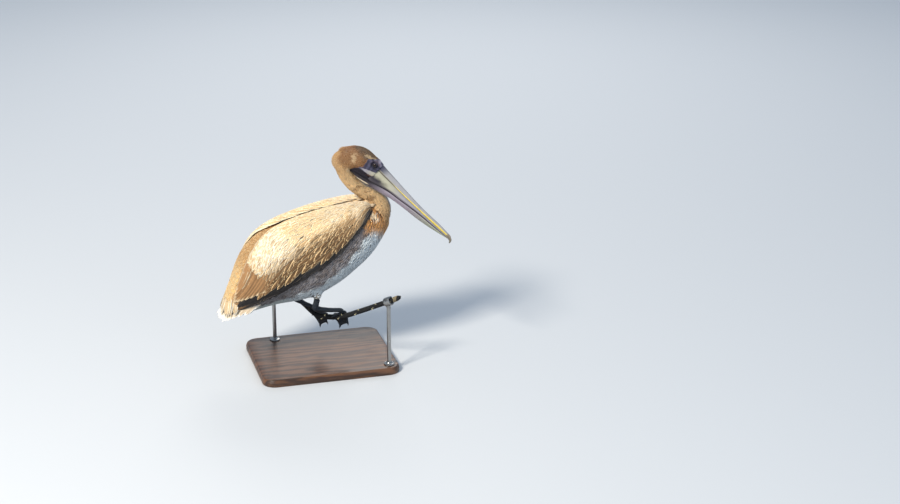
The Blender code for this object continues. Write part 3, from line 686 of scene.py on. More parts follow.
def feather_material(name, barbs=60.0, rough=0.72, bumps=True, shaft=0.35, sheen=0.12, streaky=0.5, root=0.62):
    """Vane colour from each blade's own centre and rim colours, with a shaft, barbs and soft mottling."""
    mat, nt, bsdf = nodes_of(name)
    g = Net(nt)
    t, x, rnd = g.xyz(g.attr("vane"))
    ax = g.math("ABSOLUTE", x)
    place = g.place()
    local = g.noise(g.combine(g.math("MULTIPLY", t, 5.0), g.math("MULTIPLY", x, 2.2), g.math("MULTIPLY", rnd, 57.0)), 1.6, 3.0, 0.6)
    # rim: toward the edges and the tip, ragged along the barbs
    tip = g.math("MULTIPLY", g.ramp(t, 0.78, 1.04), 0.9)
    reach = g.math("MAXIMUM", g.math("POWER", ax, 1.5), tip)
    reach = g.math("ADD", reach, g.math("MULTIPLY", g.math("SUBTRACT", local, 0.5), 0.6))
    wide = g.attr("centre", "Alpha")
    rim = g.ramp(reach, g.math("MULTIPLY", wide, 0.7), g.math("ADD", g.math("MULTIPLY", wide, 0.7), 0.45))
    colour = g.mix(g.attr("centre", "Color"), g.attr("rim", "Color"), rim)
    # barbs slant from the shaft to the edge
    slant = g.math("ADD", g.math("MULTIPLY", t, barbs), g.math("MULTIPLY", ax, -0.22 * barbs))
    slant = g.math("ADD", slant, g.math("MULTIPLY", local, 2.0))
    comb = g.math("SINE", g.math("MULTIPLY", slant, 2.6))
    streak = g.noise(g.combine(slant, g.math("MULTIPLY", x, 0.8), g.math("MULTIPLY", rnd, 31.0)), 0.9, 2.0, 0.6)
    shade = g.math("ADD", g.math("MULTIPLY", comb, 0.05), g.math("MULTIPLY", g.math("SUBTRACT", streak, 0.5), streaky))
    macro = g.math("MULTIPLY", g.math("SUBTRACT", g.noise(place, 38.0, 3.0, 0.6), 0.5), 0.35)
    shade = g.math("ADD", g.math("ADD", shade, macro), 1.0)
    shade = g.math("SUBTRACT", shade, g.math("MULTIPLY", g.ramp(ax, 0.10, 0.03), shaft * 0.5))
    # the root lies in the shade of the blades over it
    shade = g.math("MULTIPLY", shade, g.ramp(t, 0.0, 0.45, root, 1.0))
    grey = g.combine(shade, shade, shade)
    colour = g.mix(colour, grey, 1.0, "MULTIPLY")
    g.put(bsdf.inputs["Base Color"], colour)
    bsdf.inputs["Roughness"].default_value = rough
    bsdf.inputs["Specular IOR Level"].default_value = 0.25
    bsdf.inputs["Sheen Weight"].default_value = sheen
    bsdf.inputs["Sheen Roughness"].default_value = 0.5
    if bumps:
        height = g.math("ADD", g.math("MULTIPLY", comb, 0.5), g.math("MULTIPLY", g.ramp(ax, 0.10, 0.0), 1.5))
        g.put(bsdf.inputs["Normal"], g.bump(height, 0.00025, 0.6))
    return mat


# ---------------------------------------------------------------- colours of the plumage by place
def spread(rng, n, amount=0.08):
    return 1 + amount * rng.normal(size=(n, 1))


def join(colour, width):
    return np.concatenate([colour, np.broadcast_to(np.asarray(width, float), (len(colour),))[:, None]], 1)


def line_gap(u, v, a, b):
    d = np.array(b, float) - np.array(a, float)
    f = np.clip(((u - a[0]) * d[0] + (v - a[1]) * d[1]) / (d @ d), 0, 1)
    return np.hypot(u - a[0] - f * d[0], v - a[1] - f * d[1])


def head_tones(p, seed=1):
    rng = np.random.default_rng(seed)
    n = len(p)
    u, v, w = to_head(p)
    high = smoothstep(24, 40, v + 4 * wave_noise(p, 0.022, 3)) * smoothstep(-112, -84, u)
    centre = mix(lin(120, 82, 48), lin(74, 57, 43), high)
    rim = mix(lin(192, 152, 104), lin(150, 124, 95), high)
    nape = smoothstep(-86, -110, u + 5 * wave_noise(p, 0.02, 8))
    centre, rim = mix(centre, lin(168, 126, 78), nape), mix(rim, lin(232, 196, 142), nape)
    low = smoothstep(-18, -44, v)
    centre, rim = mix(centre, lin(182, 144, 96), low), mix(rim, lin(230, 200, 156), low)
    ear = smoothstep(17, 5, np.hypot(1.5 * (u + 60 + 0.35 * (v - 5)), 0.8 * (v - 5)) + 6 * wave_noise(p, 0.011, 9)) * 0.6
    brow = smoothstep(6, 2, line_gap(u, v, (-36, 37), (5, 44)) + 2 * wave_noise(p, 0.01, 10)) * 0.75
    lower = smoothstep(6, 2, line_gap(u, v, (-60, -34), (8, -26))) * 0.7
    pale = np.maximum(np.maximum(ear, brow), lower)
    centre, rim = mix(centre, lin(196, 168, 128), pale), mix(rim, lin(232, 214, 184), pale)
    k = spread(rng, n, 0.10)
    return join(centre * k, 0.62), rim * spread(rng, n, 0.07)


def neck_tones(p, k, front, seed=2):
    """k is the place along the neck, 0 at the body and 10 at the head; front is 1 on the fore side."""
    rng = np.random.default_rng(seed)
    n = len(p)
    mottle = wave_noise(p, 0.03, 5) * 0.5 + wave_noise(p, 0.011, 6) * 0.5
    centre = mix(lin(222, 184, 132), lin(156, 118, 76), smoothstep(0.0, 0.8, mottle))
    rim = mix(lin(238, 206, 158), lin(204, 166, 118), smoothstep(0.1, 0.9, mottle))
    base = smoothstep(3.4, 0.8, k + 0.4 * mottle)
    centre, rim = mix(centre, lin(156, 104, 56), 0.85 * base), mix(rim, lin(216, 166, 106), 0.8 * base)
    top = smoothstep(8.0, 10.0, k)
    centre, rim = mix(centre, lin(176, 134, 86), 0.6 * top), mix(rim, lin(226, 190, 140), 0.6 * top)
    # the fore side of the lower neck: its own grey-white, painted darker grey as the shade under the pouch
    fore = smoothstep(0.72, 0.96, front) * smoothstep(7.5, 5.5, k)
    centre, rim = mix(centre, lin(150, 150, 152), 0.9 * fore), mix(rim, lin(196, 196, 196), 0.9 * fore)
    return join(centre * spread(rng, n, 0.08), 0.5), rim * spread(rng, n, 0.06)


def trunk_tones(p, seed=3):
    rng = np.random.default_rng(seed)
    n = len(p)
    s, t, y = to_body(p)
    c = curve(TRUNK, 1, s)
    angle = np.arctan2(np.abs(y), t - c)
    low = angle_at_height(s, curve(WING, 1, s))
    below = (angle - low) * 105
    noise = wave_noise(p, 0.05, 11)
    reach = np.interp(s, [-200, -60, 60, 150, 230, 285, 305], [40, 52, 68, 56, 42, 29, 5])
    side = smoothstep(reach + 9, reach - 9, below + 12 * noise) * smoothstep(306, 280, s)
    streaks = 0.5 + 0.5 * np.sin(s * 0.14 + 9 * wave_noise(p, 0.09, 12)) * smoothstep(0, 30, below)
    # painted shade and reflected sky light: the white breast and belly are a darker blue-grey, not plain white
    white_in_shade_c, white_in_shade_r = lin(190, 199, 204), lin(201, 209, 214)
    centre = mix(np.broadcast_to(white_in_shade_c, (n, 3)), mix(np.broadcast_to(lin(84, 77, 76), (n, 3)), lin(112, 108, 112), streaks), side)
    rim = mix(np.broadcast_to(white_in_shade_r, (n, 3)), mix(np.broadcast_to(lin(118, 108, 104), (n, 3)), lin(150, 148, 152), streaks), side)
    # painted shade: the body below the wings is darkened toward the rear, and the white toward the tail greyed with a
    # green cast
    rear_painted_shade = 1 - 0.22 * smoothstep(30, -50, s) * smoothstep(0, 25, below)
    centre, rim = centre * rear_painted_shade[:, None], rim * rear_painted_shade[:, None]
    under = smoothstep(-20, -90, s) * (1 - side)
    centre, rim = mix(centre, lin(150, 160, 156), 0.8 * under), mix(rim, lin(176, 184, 180), 0.8 * under)
    # above the wings' upper edge
    back = smoothstep(1.15, 0.75, angle) * smoothstep(320, 290, s)
    centre, rim = mix(centre, lin(178, 134, 84), back), mix(rim, lin(238, 204, 152), back)
    # painted shade in the furrow between the wings: the back's plumage there is darkened
    furrow = back * smoothstep(0.35, 0.15, angle) * smoothstep(30, 70, s)
    centre, rim = mix(centre, lin(74, 52, 34), furrow), mix(rim, lin(120, 88, 56), furrow)
    rump = smoothstep(-60, -120, s) * (1 - smoothstep(1.5, 2.2, angle))
    centre, rim = mix(centre, lin(222, 178, 118), rump), mix(rim, lin(252, 224, 170), rump)
    # where the neck's colour ends
    neck = smoothstep(20, -20, line_gap(t, s, (196, 262), (120, 300)) * np.sign(300 - 0.5 * (t - 120) - s) + 8 * noise) * (t > c - 70)
    neck = neck * smoothstep(90, 130, t) * smoothstep(10, 30, np.abs(y) + 6 * noise)
    spot = smoothstep(15, 6, np.hypot(s - 300, t - 208) + 4 * noise)
    neck = neck * (1 - spot)
    centre, rim = mix(centre, lin(232, 204, 164), spot), mix(rim, lin(246, 226, 194), spot)
    centre, rim = mix(centre, lin(164, 110, 58), neck), mix(rim, lin(224, 174, 112), neck)
    return join(centre * spread(rng, n, 0.04), 0.5), rim * spread(rng, n, 0.03)


def thigh_tones(p, seed=4):
    rng = np.random.default_rng(seed)
    n = len(p)
    return join(lin(92, 82, 70) * spread(rng, n, 0.1), 0.55), lin(150, 136, 116) * spread(rng, n, 0.08)


def wing_tones(p, s, b, seed=5):
    rng = np.random.default_rng(seed)
    n = len(p)
    noise = wave_noise(p, 0.04, 21)
    wrist = smoothstep(170, 250, s)
    deep = smoothstep(0.42, 0.62, b + 0.05 * noise)
    centre = mix(lin(224, 187, 136), mix(np.broadcast_to(lin(106, 78, 48), (n, 3)), lin(160, 126, 88), wrist), deep)
    rim = mix(lin(253, 238, 203), lin(230, 196, 146), deep)
    centre = mix(centre, lin(186, 142, 92), 0.3 * wrist * (1 - deep))
    # painted highlight: the shoulder and the wrist's coverts lightened to cream where the light falls on them
    shoulder_highlight = smoothstep(195, 235, s) * smoothstep(0.46, 0.24, b + 0.04 * noise) * 0.8
    shoulder_highlight = np.maximum(shoulder_highlight, smoothstep(228, 268, s + 10 * noise) * smoothstep(0.82, 0.56, b) * 0.85)
    centre, rim = mix(centre, lin(234, 206, 164), shoulder_highlight), mix(rim, lin(253, 242, 220), shoulder_highlight)
    # the scapulars' paler tone with a painted highlight over it, and a painted highlight on the wing's upper front
    patch = smoothstep(70, 20, s) * smoothstep(-84, -34, s + 10 * noise) * smoothstep(0.04, 0.14, b) * smoothstep(0.68, 0.50, b)
    front_highlight = smoothstep(240, 200, s) * smoothstep(150, 190, s) * smoothstep(0.10, 0.25, b) * smoothstep(0.55, 0.40, b) * 0.5
    pale_and_highlight = np.maximum(patch, front_highlight)
    centre, rim = mix(centre, lin(222, 198, 160), 0.85 * pale_and_highlight), mix(rim, lin(250, 240, 220), 0.85 * pale_and_highlight)
    rear = smoothstep(-50, -110, s)
    centre, rim = mix(centre, lin(150, 112, 74), 0.7 * rear), mix(rim, lin(206, 172, 126), 0.7 * rear)
    dark = smoothstep(0.80, 0.86, b) * smoothstep(270, 215, s)
    centre, rim = mix(centre, lin(52, 48, 46), dark), mix(rim, lin(120, 108, 94), dark)
    width = 0.22 + 0.26 * deep - 0.08 * pale_and_highlight + 0.06 * wrist
    return join(centre * spread(rng, n, 0.12), np.clip(width + 0.06 * rng.normal(size=n), 0.1, 0.9)), rim * spread(rng, n, 0.05)


# ---------------------------------------------------------------- skin
FACE_EDGE = [(-42, 30), (-36, -50), (-30, -54), (-10, -42), (5, -30), (20, -31), (32, -33), (40, -22), (47, -8), (52, 16)]


def bare(u, v):
    """How far, in millimetres, a place on the head lies inside the bare skin of the face."""
    return u - np.interp(v, [r[0] for r in FACE_EDGE], [r[1] for r in FACE_EDGE])


def head_half(u):
    top, bottom, side = (curve(HEAD, k, u) for k in (1, 2, 3))
    return (top + bottom) / 2, (top - bottom) / 2, side


def head_side(u, v):
    """Half breadth of the head at a place seen from the side."""
    mid, half, side = head_half(u)
    f = np.clip(np.abs(v - mid) / half, 0, 1)
    return side * (1 - f**2.2) ** (1 / 2.2)


def coat_depth(p):
    """Depth of the plumage over the skin, millimetres."""
    s, t, y = to_body(p)
    u, v, w = to_head(p)
    z = (p[:, 2] - PERCH[2]) / MM
    x = (p[:, 0] - PERCH[0]) / MM
    up_neck = smoothstep(300, 400, z) * smoothstep(20, 60, x)
    depth = 6.0 - 2.4 * up_neck
    on_head = smoothstep(430, 470, z) * smoothstep(20, 50, x)
    depth = mix1(depth, 2.3, on_head)
    thigh = smoothstep(150, 110, z)
    depth = mix1(depth, 3.0, thigh * (x < 0))
    face = smoothstep(-2, 3, bare(u, v)) * on_head * (v > -50)
    return depth * (1 - face)


def mix1(a, b, f):
    return a * (1 - f) + b * f


def skin_colour(p):
    """Under the plumage: the same markings, deeper, and the bare face's slate."""
    s, t, y = to_body(p)
    u, v, w = to_head(p)
    z = (p[:, 2] - PERCH[2]) / MM
    x = (p[:, 0] - PERCH[0]) / MM
    head = smoothstep(440, 462, z) * (x > 20)
    neck = smoothstep(290, 330, z) * (x > 20) * (1 - head)
    trunk = trunk_tones(p)[0][:, :3]
    c = mix(trunk, lin(128, 92, 58), neck)
    c = mix(c, head_tones(p)[0][:, :3], head)
    # wings
    girth = angle_at_height(s, curve(WING, 1, s))
    high = angle_at_side(s, curve(WING, 2, s))
    at = np.arctan2(np.abs(y), t - curve(TRUNK, 1, s))
    b = (at - high) / np.maximum(girth - high, 0.2)
    out = np.hypot(t - curve(TRUNK, 1, s), y) - np.hypot(*[q - o for q, o in zip(trunk_section(np.clip(s, -210, 300), at), (curve(TRUNK, 1, s), 0))])
    wing = ((b > -0.05) & (b < 1.05) & (s < 310) & (out > 0.0) & (z < 420)).astype(float)
    c = mix(c, wing_tones(p, s, np.clip(b, 0, 1))[0][:, :3], wing)
    # painted shade: the skin under the wings' upper edge, in the furrow, is darkened
    edge = smoothstep(0.04, 0.01, b) * smoothstep(20, 60, s) * (s < 290) * (z < 430) * (t > 240)
    c = mix(c, lin(66, 46, 30), edge)
    thigh = smoothstep(150, 120, z) * (x < -20) * (t < 150)
    c = mix(c, lin(84, 75, 64), thigh)
    face = smoothstep(-1.5, 1.5, bare(u, v) + 1.5 * wave_noise(p, 0.008, 31)) * head * (v > -60)
    wob = wave_noise(p, 0.014, 33)
    slate = mix(np.broadcast_to(lin(38, 38, 58), (len(p), 3)), lin(84, 84, 108), smoothstep(-0.2, 0.9, wob) * 0.5)
    # pale lilac skin at the bill's base on the forehead, lightened further as a painted highlight
    crown = smoothstep(9, 3, np.hypot(u + 2, 1.2 * (v - 43)))
    slate = mix(slate, lin(164, 162, 178), crown * 0.9)
    brow = smoothstep(5, 1.5, line_gap(u, v, (-22, 44), (10, 38)))
    slate = mix(slate, lin(150, 146, 164), brow * 0.5)
    line = 2 + (u + 27) * 0.35
    strip = smoothstep(-0.5, 2.0, line - v + wob) * smoothstep(-6.5, -2.5, v + wob) * smoothstep(-36, -24, u)
    slate = mix(slate, mix(np.broadcast_to(lin(150, 146, 156), (len(p), 3)), lin(172, 168, 150), smoothstep(-20, 12, u)), strip * 0.92)
    slate = mix(slate, lin(26, 22, 34), smoothstep(-3.5, -8.5, v) * 0.92)
    near = np.hypot(u - EYE_AT[0], v - EYE_AT[1])
    slate = mix(slate, lin(20, 20, 36), smoothstep(18, 8, near + 2.5 * wob) * 0.88)
    c = mix(c, slate, face)
    return c, face


def build_skin():
    """One skin for trunk, wings, neck, head and thighs; the head is finer, with sockets and lids."""
    points, tris = cad_arrays("trunk", "wing_left", "wing_right", "neck_lower", "neck_upper", "head", "thigh_left", "thigh_right")
    v, q = remesh(points, tris, 0.0038)
    edges = quad_edges(q)
    v = relax(v, edges, 3)
    normal, _ = quad_normals(v, q)
    normal = unit(relax(normal, edges, 4))
    depth = relax(coat_depth(v)[:, None], edges, 4)
    u, hv, w = to_head(v)
    z = (v[:, 2] - PERCH[2]) / MM
    inside_head = smoothstep(440, 456, z) * (v[:, 0] > PERCH[0] + 0.02)
    depth = np.maximum(depth, (inside_head * 9.0)[:, None])
    v = v - normal * depth * MM
    v = relax(v, edges, 2)
    # the head
    hp, ht = cad_arrays("head", "neck_upper")
    a, r = remesh(hp, ht, 0.0013)
    e = quad_edges(r)
    a = relax(a, e, 6)
    n, _ = quad_normals(a, r)
    d = relax(coat_depth(a)[:, None], e, 4)
    u, hv, w = to_head(a)
    lower_end = smoothstep(452, 436, (a[:, 2] - PERCH[2]) / MM)
    d = d + 5.0 * lower_end[:, None]
    face = smoothstep(-1, 4, bare(u, hv)) * (hv > -60)
    # folds on the bare face: rings round the eye and lines from the gape
    near = np.hypot(u - EYE_AT[0], hv - EYE_AT[1])
    folds = 0.22 * np.sin(near * 1.35 + 0.6 * wave_noise(a, 0.02, 41)) * smoothstep(26, 14, near) * smoothstep(9, 12, near)
    gape = line_gap(u, hv, (-46, -26), (12, -12))
    folds += 0.5 * smoothstep(4.0, 0.0, np.abs(gape - 2.5)) - 0.5 * smoothstep(2.0, 0.0, np.abs(gape - 7.5))
    folds += 0.25 * wave_noise(a, 0.0055, 42) + 0.2 * wave_noise(a, 0.013, 43)
    a = a + n * (folds * face - d[:, 0])[:, None] * MM
    under_lids = smoothstep(14.5, 12.0, near) * (np.abs(w) > 8)
    a = a - n * (2.2 * under_lids)[:, None] * MM
    # lids and the skin round each eye, as a disc of rings
    rings = np.concatenate([[3.6, 4.4], np.linspace(4.9, 7.0, 9), np.linspace(7.5, 16.5, 16)])
    turn = np.linspace(0, 2 * pi, 112, endpoint=False)
    rr, tt = np.meshgrid(rings, turn, indexing="ij")
    parts_v, parts_q = [v, a], [q, r + len(v)]
    base = len(v) + len(a)
    for sign in (1.0, -1.0):
        stretch = 1 + 0.10 * np.cos(2 * tt) * smoothstep(12, 5, rr)
        du, dv = rr * stretch * np.cos(tt), rr * np.sin(tt) / stretch
        uu, vv = EYE_AT[0] + du, EYE_AT[1] + dv
        ball = EYE_AT[2] + np.sqrt(np.maximum((EYE_RADIUS + 0.95) ** 2 - rr**2, 0))
        flesh = head_side(uu, vv)
        f = smoothstep(6.6, 12.0, rr)
        ww = ball * (1 - f) + flesh * f
        ww = ww - 0.75 * np.exp(-(((rr - 8.6) / 0.9) ** 2)) + 0.45 * np.exp(-(((rr - 6.3) / 0.8) ** 2)) + 0.35 * np.exp(-(((rr - 10.6) / 1.0) ** 2))
        ww = np.where(rr < 4.6, EYE_AT[2] + np.sqrt(np.maximum((EYE_RADIUS - 0.5) ** 2 - rr**2, 0)), ww)
        grid = head_point(uu, vv, sign * ww)
        ww = ww + 0.10 * np.sin(tt * 23 + 2 * np.sin(tt * 5)) * smoothstep(5.2, 6.5, rr) * smoothstep(12, 8, rr)
        ww = ww + 0.22 * wave_noise(grid, 0.0055, 42) * smoothstep(8, 13, rr) - 0.6 * smoothstep(13.5, 16.5, rr)
        grid = head_point(uu, vv, sign * ww)
        m, k = rr.shape
        i, j = np.meshgrid(np.arange(m - 1), np.arange(k), indexing="ij")
        jn = (j + 1) % k
        faces = np.stack([i * k + j, i * k + jn, (i + 1) * k + jn, (i + 1) * k + j], -1).reshape(-1, 4)
        if sign > 0:
            faces = faces[:, ::-1]
        parts_v.append(grid.reshape(-1, 3))
        parts_q.append(faces + base)
        base += m * k
    v, q = np.concatenate(parts_v), np.concatenate(parts_q)
    colour, face = skin_colour(v)
    u, hv, w = to_head(v)
    lid = smoothstep(6.6, 5.2, np.hypot(u - EYE_AT[0], hv - EYE_AT[1])) * face
    colour = mix(colour, lin(30, 28, 36), lid)
    me = raw_mesh("skin", v, quads=q)
    give(me, "tone", colour, "FLOAT_COLOR")
    give(me, "face", face, "FLOAT")
    ob = add_object("skin", me, skin_material())
    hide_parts("trunk", "wing_left", "wing_right", "neck_lower", "neck_upper", "head", "thigh_left", "thigh_right")


def skin_material():
    mat, nt, bsdf = nodes_of("skin")
    g = Net(nt)
    place = g.place()
    face = g.attr("face", "Fac")
    fine = g.noise(place, 900.0, 3.0, 0.6)
    broad = g.noise(place, 120.0, 4.0, 0.6)
    cells = g.voronoi(place, 620.0)
    shade = g.math("ADD", 0.72, g.math("MULTIPLY", broad, 0.55))
    shade = g.math("MULTIPLY", shade, g.math("ADD", 0.85, g.math("MULTIPLY", cells, 0.35)))
    colour = g.mix(g.attr("tone", "Color"), g.combine(shade, shade, shade), 1.0, "MULTIPLY")
    rosy = g.math("MULTIPLY", g.math("MULTIPLY", g.ramp(g.noise(place, 60.0, 2.0), 0.5, 0.75), face), 0.18)
    colour = g.mix(colour, lin(150, 112, 118), rosy)
    g.put(bsdf.inputs["Base Color"], colour)
    g.put(bsdf.inputs["Roughness"], g.ramp(broad, 0.2, 0.8, 0.45, 0.75))
    bsdf.inputs["Specular IOR Level"].default_value = 0.35
    height = g.math("ADD", g.math("MULTIPLY", cells, 0.9), g.math("MULTIPLY", fine, 0.5))
    g.put(bsdf.inputs["Normal"], g.bump(g.math("MULTIPLY", height, face), 0.0004, 0.9))
    return mat


build_skin()


# ---------------------------------------------------------------- plumage of head, neck and trunk
def neck_ring(k, th):
    table = [tuple([i, *row]) for i, row in enumerate(NECK)]
    x, z, heading, front, back, side = (curve(table, j, k) for j in range(1, 7))
    a = np.radians(heading)
    reach = np.where(np.cos(th) > 0, front, back) * np.cos(th)
    return PERCH + np.stack([x + reach * np.sin(a), side * np.sin(th), z - reach * np.cos(a)], -1) * MM


def head_ring(u, th):
    mid, half, side = head_half(u)
    return head_point(u, mid + half * signed_power(np.cos(th), 2 / 2.2), side * signed_power(np.sin(th), 2 / 2.2))


def ring_points(ring, at, gap, rng, jitter=0.35, steps=240):
    """Evenly spaced points on each ring, staggered from ring to ring. Returns points, ring place and angle."""
    out_p, out_a, out_t = [], [], []
    th = np.linspace(0, 2 * pi, steps + 1)
    for i, a in enumerate(at):
        p = ring(np.full(steps + 1, a), th)
        arc = np.concatenate([[0], np.cumsum(np.linalg.norm(np.diff(p, axis=0), axis=1))]) / MM
        g = gap(a) if callable(gap) else gap
        n = max(int(round(arc[-1] / g)), 3)
        want = (np.arange(n) + 0.5 * (i % 2) + jitter * (rng.random(n) - 0.5)) * arc[-1] / n % arc[-1]
        angle = np.interp(want, arc, th)
        aa = a + (at[1] - at[0]) * jitter * (rng.random(n) - 0.5)
        out_p.append(ring(aa, angle))
        out_a.append(aa)
        out_t.append(angle)
    return np.concatenate(out_p), np.concatenate(out_a), np.concatenate(out_t)


def nearest_label(points):
    tree, label = guide["tree"], guide["face_label"]
    found, gap = np.empty(len(points), int), np.empty(len(points))
    for i, p in enumerate(points.tolist()):
        _, _, index, d = tree.find_nearest(p)
        found[i], gap[i] = label[index], d
    return found, gap


def sink(spine, up, depth, tip=0.0, power=1.2):
    """Roots lie a depth below the surface and tips reach it."""
    t = np.linspace(0, 1, spine.shape[1])
    fall = -depth[:, None] * (1 - t) ** power + np.broadcast_to(tip, len(spine))[:, None] * t
    return spine + up * fall[..., None] * MM


LENS_T = np.array([0.0, 0.33, 0.66, 0.86, 1.0])
LENS_W = np.array([0.35, 0.85, 1.0, 0.74, 0.16])


def small_feathers(coat, roots, length, width, centre, rim, place, depth, seed, aim=0.12, rows=5, size=0.003, cling=1.0, tip=0.0, thick=0.55, columns=SMALL, camber=0.22, power=1.2, lift=0.2, roll=0.10):
    rng = np.random.default_rng(seed)
    n = len(roots)
    length = np.broadcast_to(length, n) * (1 + 0.14 * rng.normal(size=n).clip(-2, 2))
    width = np.broadcast_to(width, n) * (1 + 0.10 * rng.normal(size=n).clip(-2, 2))
    depth = np.broadcast_to(depth, n)
    spine, up = lay(roots, aim * rng.normal(size=n), length * MM, rows - 1, cling=cling)
    share = np.interp(np.linspace(0, 1, rows), LENS_T, LENS_W)
    share[-1] = 0.16
    spine = sink(spine, up, depth, tip + lift * rng.normal(size=n), power)
    half = 0.5 * width[:, None] * profile(n, share, rng) * MM
    skew = 1 + 0.10 * rng.normal(size=(n, 1))
    roll = roll * rng.normal(size=n)
    coat.add(spine, up, half * skew, half / skew, np.full((n, 1), thick * MM), np.full((n, 1), camber), columns, centre, rim, place, size, seed + 1, roll=roll)


fine_mat = feather_material("plumage_fine", barbs=16.0, rough=0.82, bumps=False, shaft=0.12, sheen=0.15, streaky=0.3, root=0.82)
down_mat = feather_material("plumage_down", barbs=14.0, rough=0.85, bumps=False, shaft=0.06, sheen=0.18, streaky=0.16, root=0.93)
vane_mat = feather_material("plumage_vanes", barbs=46.0, rough=0.66, bumps=True, shaft=0.4, sheen=0.08)
flight_mat = feather_material("plumage_flight", barbs=110.0, rough=0.58, bumps=True, shaft=0.55, sheen=0.04)
MIDDLE = [(-1.0, 0), (-0.5, 1), (0.0, 1.6), (0.5, 1), (1.0, 0), (0.0, -1)]


def cover_head():
    rng = np.random.default_rng(101)
    at = np.concatenate([np.arange(11.0, -98.0, -2.3), np.arange(-98.0, -112.0, -1.25), np.arange(-112.0, -120.9, -0.55)])
    p, u, th = ring_points(head_ring, at, 1.8, rng, jitter=0.8)
    label, gap = nearest_label(p)
    uu, vv, ww = to_head(p)
    inside = bare(uu, vv) + 1.6 * wave_noise(p, 0.012, 51)
    keep = (gap < 0.006) & (label >= 1) & (inside < -0.5)
    p, u, th, inside = p[keep], u[keep], th[keep], inside[keep]
    tones, rims = head_tones(p, 102)
    back = smoothstep(-70, -118, u)
    near_face = smoothstep(-14, 0, inside)
    length = 7.2 + 5.0 * back - 3.0 * near_face
    width = 2.5 + 0.7 * back - 0.8 * near_face
    coat = Coat("coat_head")
    small_feathers(coat, p, length, width, tones, rims, np.stack([u, th], 1), 2.1 - 1.1 * near_face, 103, aim=0.14, rows=4, thick=0.4, tip=0.1)
    # crest at the nape: longer, loose, a little raised
    n = 320
    uu = -80 - 26 * rng.random(n)
    th = (rng.normal(size=n) * 0.36) % (2 * pi)
    q = head_ring(uu, th)
    tones, rims = head_tones(q, 104)
    tones[:, :3] = mix(tones[:, :3], lin(120, 74, 50), 0.5)
    small_feathers(coat, q, 13 + 9 * smoothstep(-86, -104, uu), 2.6, tones, rims, np.stack([uu, th], 1), 1.5, 105, aim=0.16, rows=5, thick=0.4, cling=0.5 - 0.5 * smoothstep(-90, -102, uu), tip=0.8 + 2.2 * smoothstep(-90, -102, uu))
    # the turn of the nape under the crest
    n = 150
    q = head_ring(np.full(n, -119.0), np.linspace(0, 2 * pi, n)).mean(0) + 5.5 * MM * rng.normal(size=(n, 3)).clip(-1.8, 1.8)
    q = np.array([tuple(guide["tree"].find_nearest(a)[0]) for a in q.tolist()])
    uu, vv, ww = to_head(q)
    tones, rims = head_tones(q, 106)
    small_feathers(coat, q, 11.0, 3.1, tones, rims, np.stack([uu, np.arctan2(ww, vv + 36.0)], 1), 1.9, 107, aim=0.14, rows=4, thick=0.4, tip=0.4)
    coat.finish(fine_mat)


def cover_neck():
    rng = np.random.default_rng(111)
    at = np.arange(10.6, 0.15, -0.092)
    at = np.concatenate([np.arange(10.4, 4.0, -0.175), np.arange(4.0, 0.1, -0.15)])
    p, k, th = ring_points(neck_ring, np.array([10.4, 10.2]), 3.0, rng)
    ps, ks, ts = [], [], []
    for i, a in enumerate(at):
        step = at[i] - at[min(i + 1, len(at) - 1)] if i + 1 < len(at) else 0.17
        p, k, th = ring_points(neck_ring, np.array([a, a - 0.2]), 2.5, rng, jitter=1.0)
        half = len(p) // 2
        ps.append(p[:half] if i % 2 == 0 else p[half:])
        ks.append(k[:half] if i % 2 == 0 else k[half:] + 0.2)
        ts.append(th[:half] if i % 2 == 0 else th[half:])
    p, k, th = np.concatenate(ps), np.concatenate(ks), np.concatenate(ts)
    label, gap = nearest_label(p)
    keep = (gap < 0.007) & (label <= 1)
    p, k, th = p[keep], k[keep], th[keep]
    tones, rims = neck_tones(p, k, np.cos(th), 112)
    base = smoothstep(4.0, 0.5, k)
    coat = Coat("coat_neck")
    small_feathers(coat, p, 13.5 + 9 * base, 3.3 + 1.9 * base, tones, rims, np.stack([k, th], 1), 3.4 + 2.2 * base, 113, aim=0.15, thick=0.4, tip=0.0, camber=0.15)
    coat.finish(fine_mat)


def trunk_ring(s, th):
    t, y = trunk_section(s, th)
    return body_point(s, t, y)


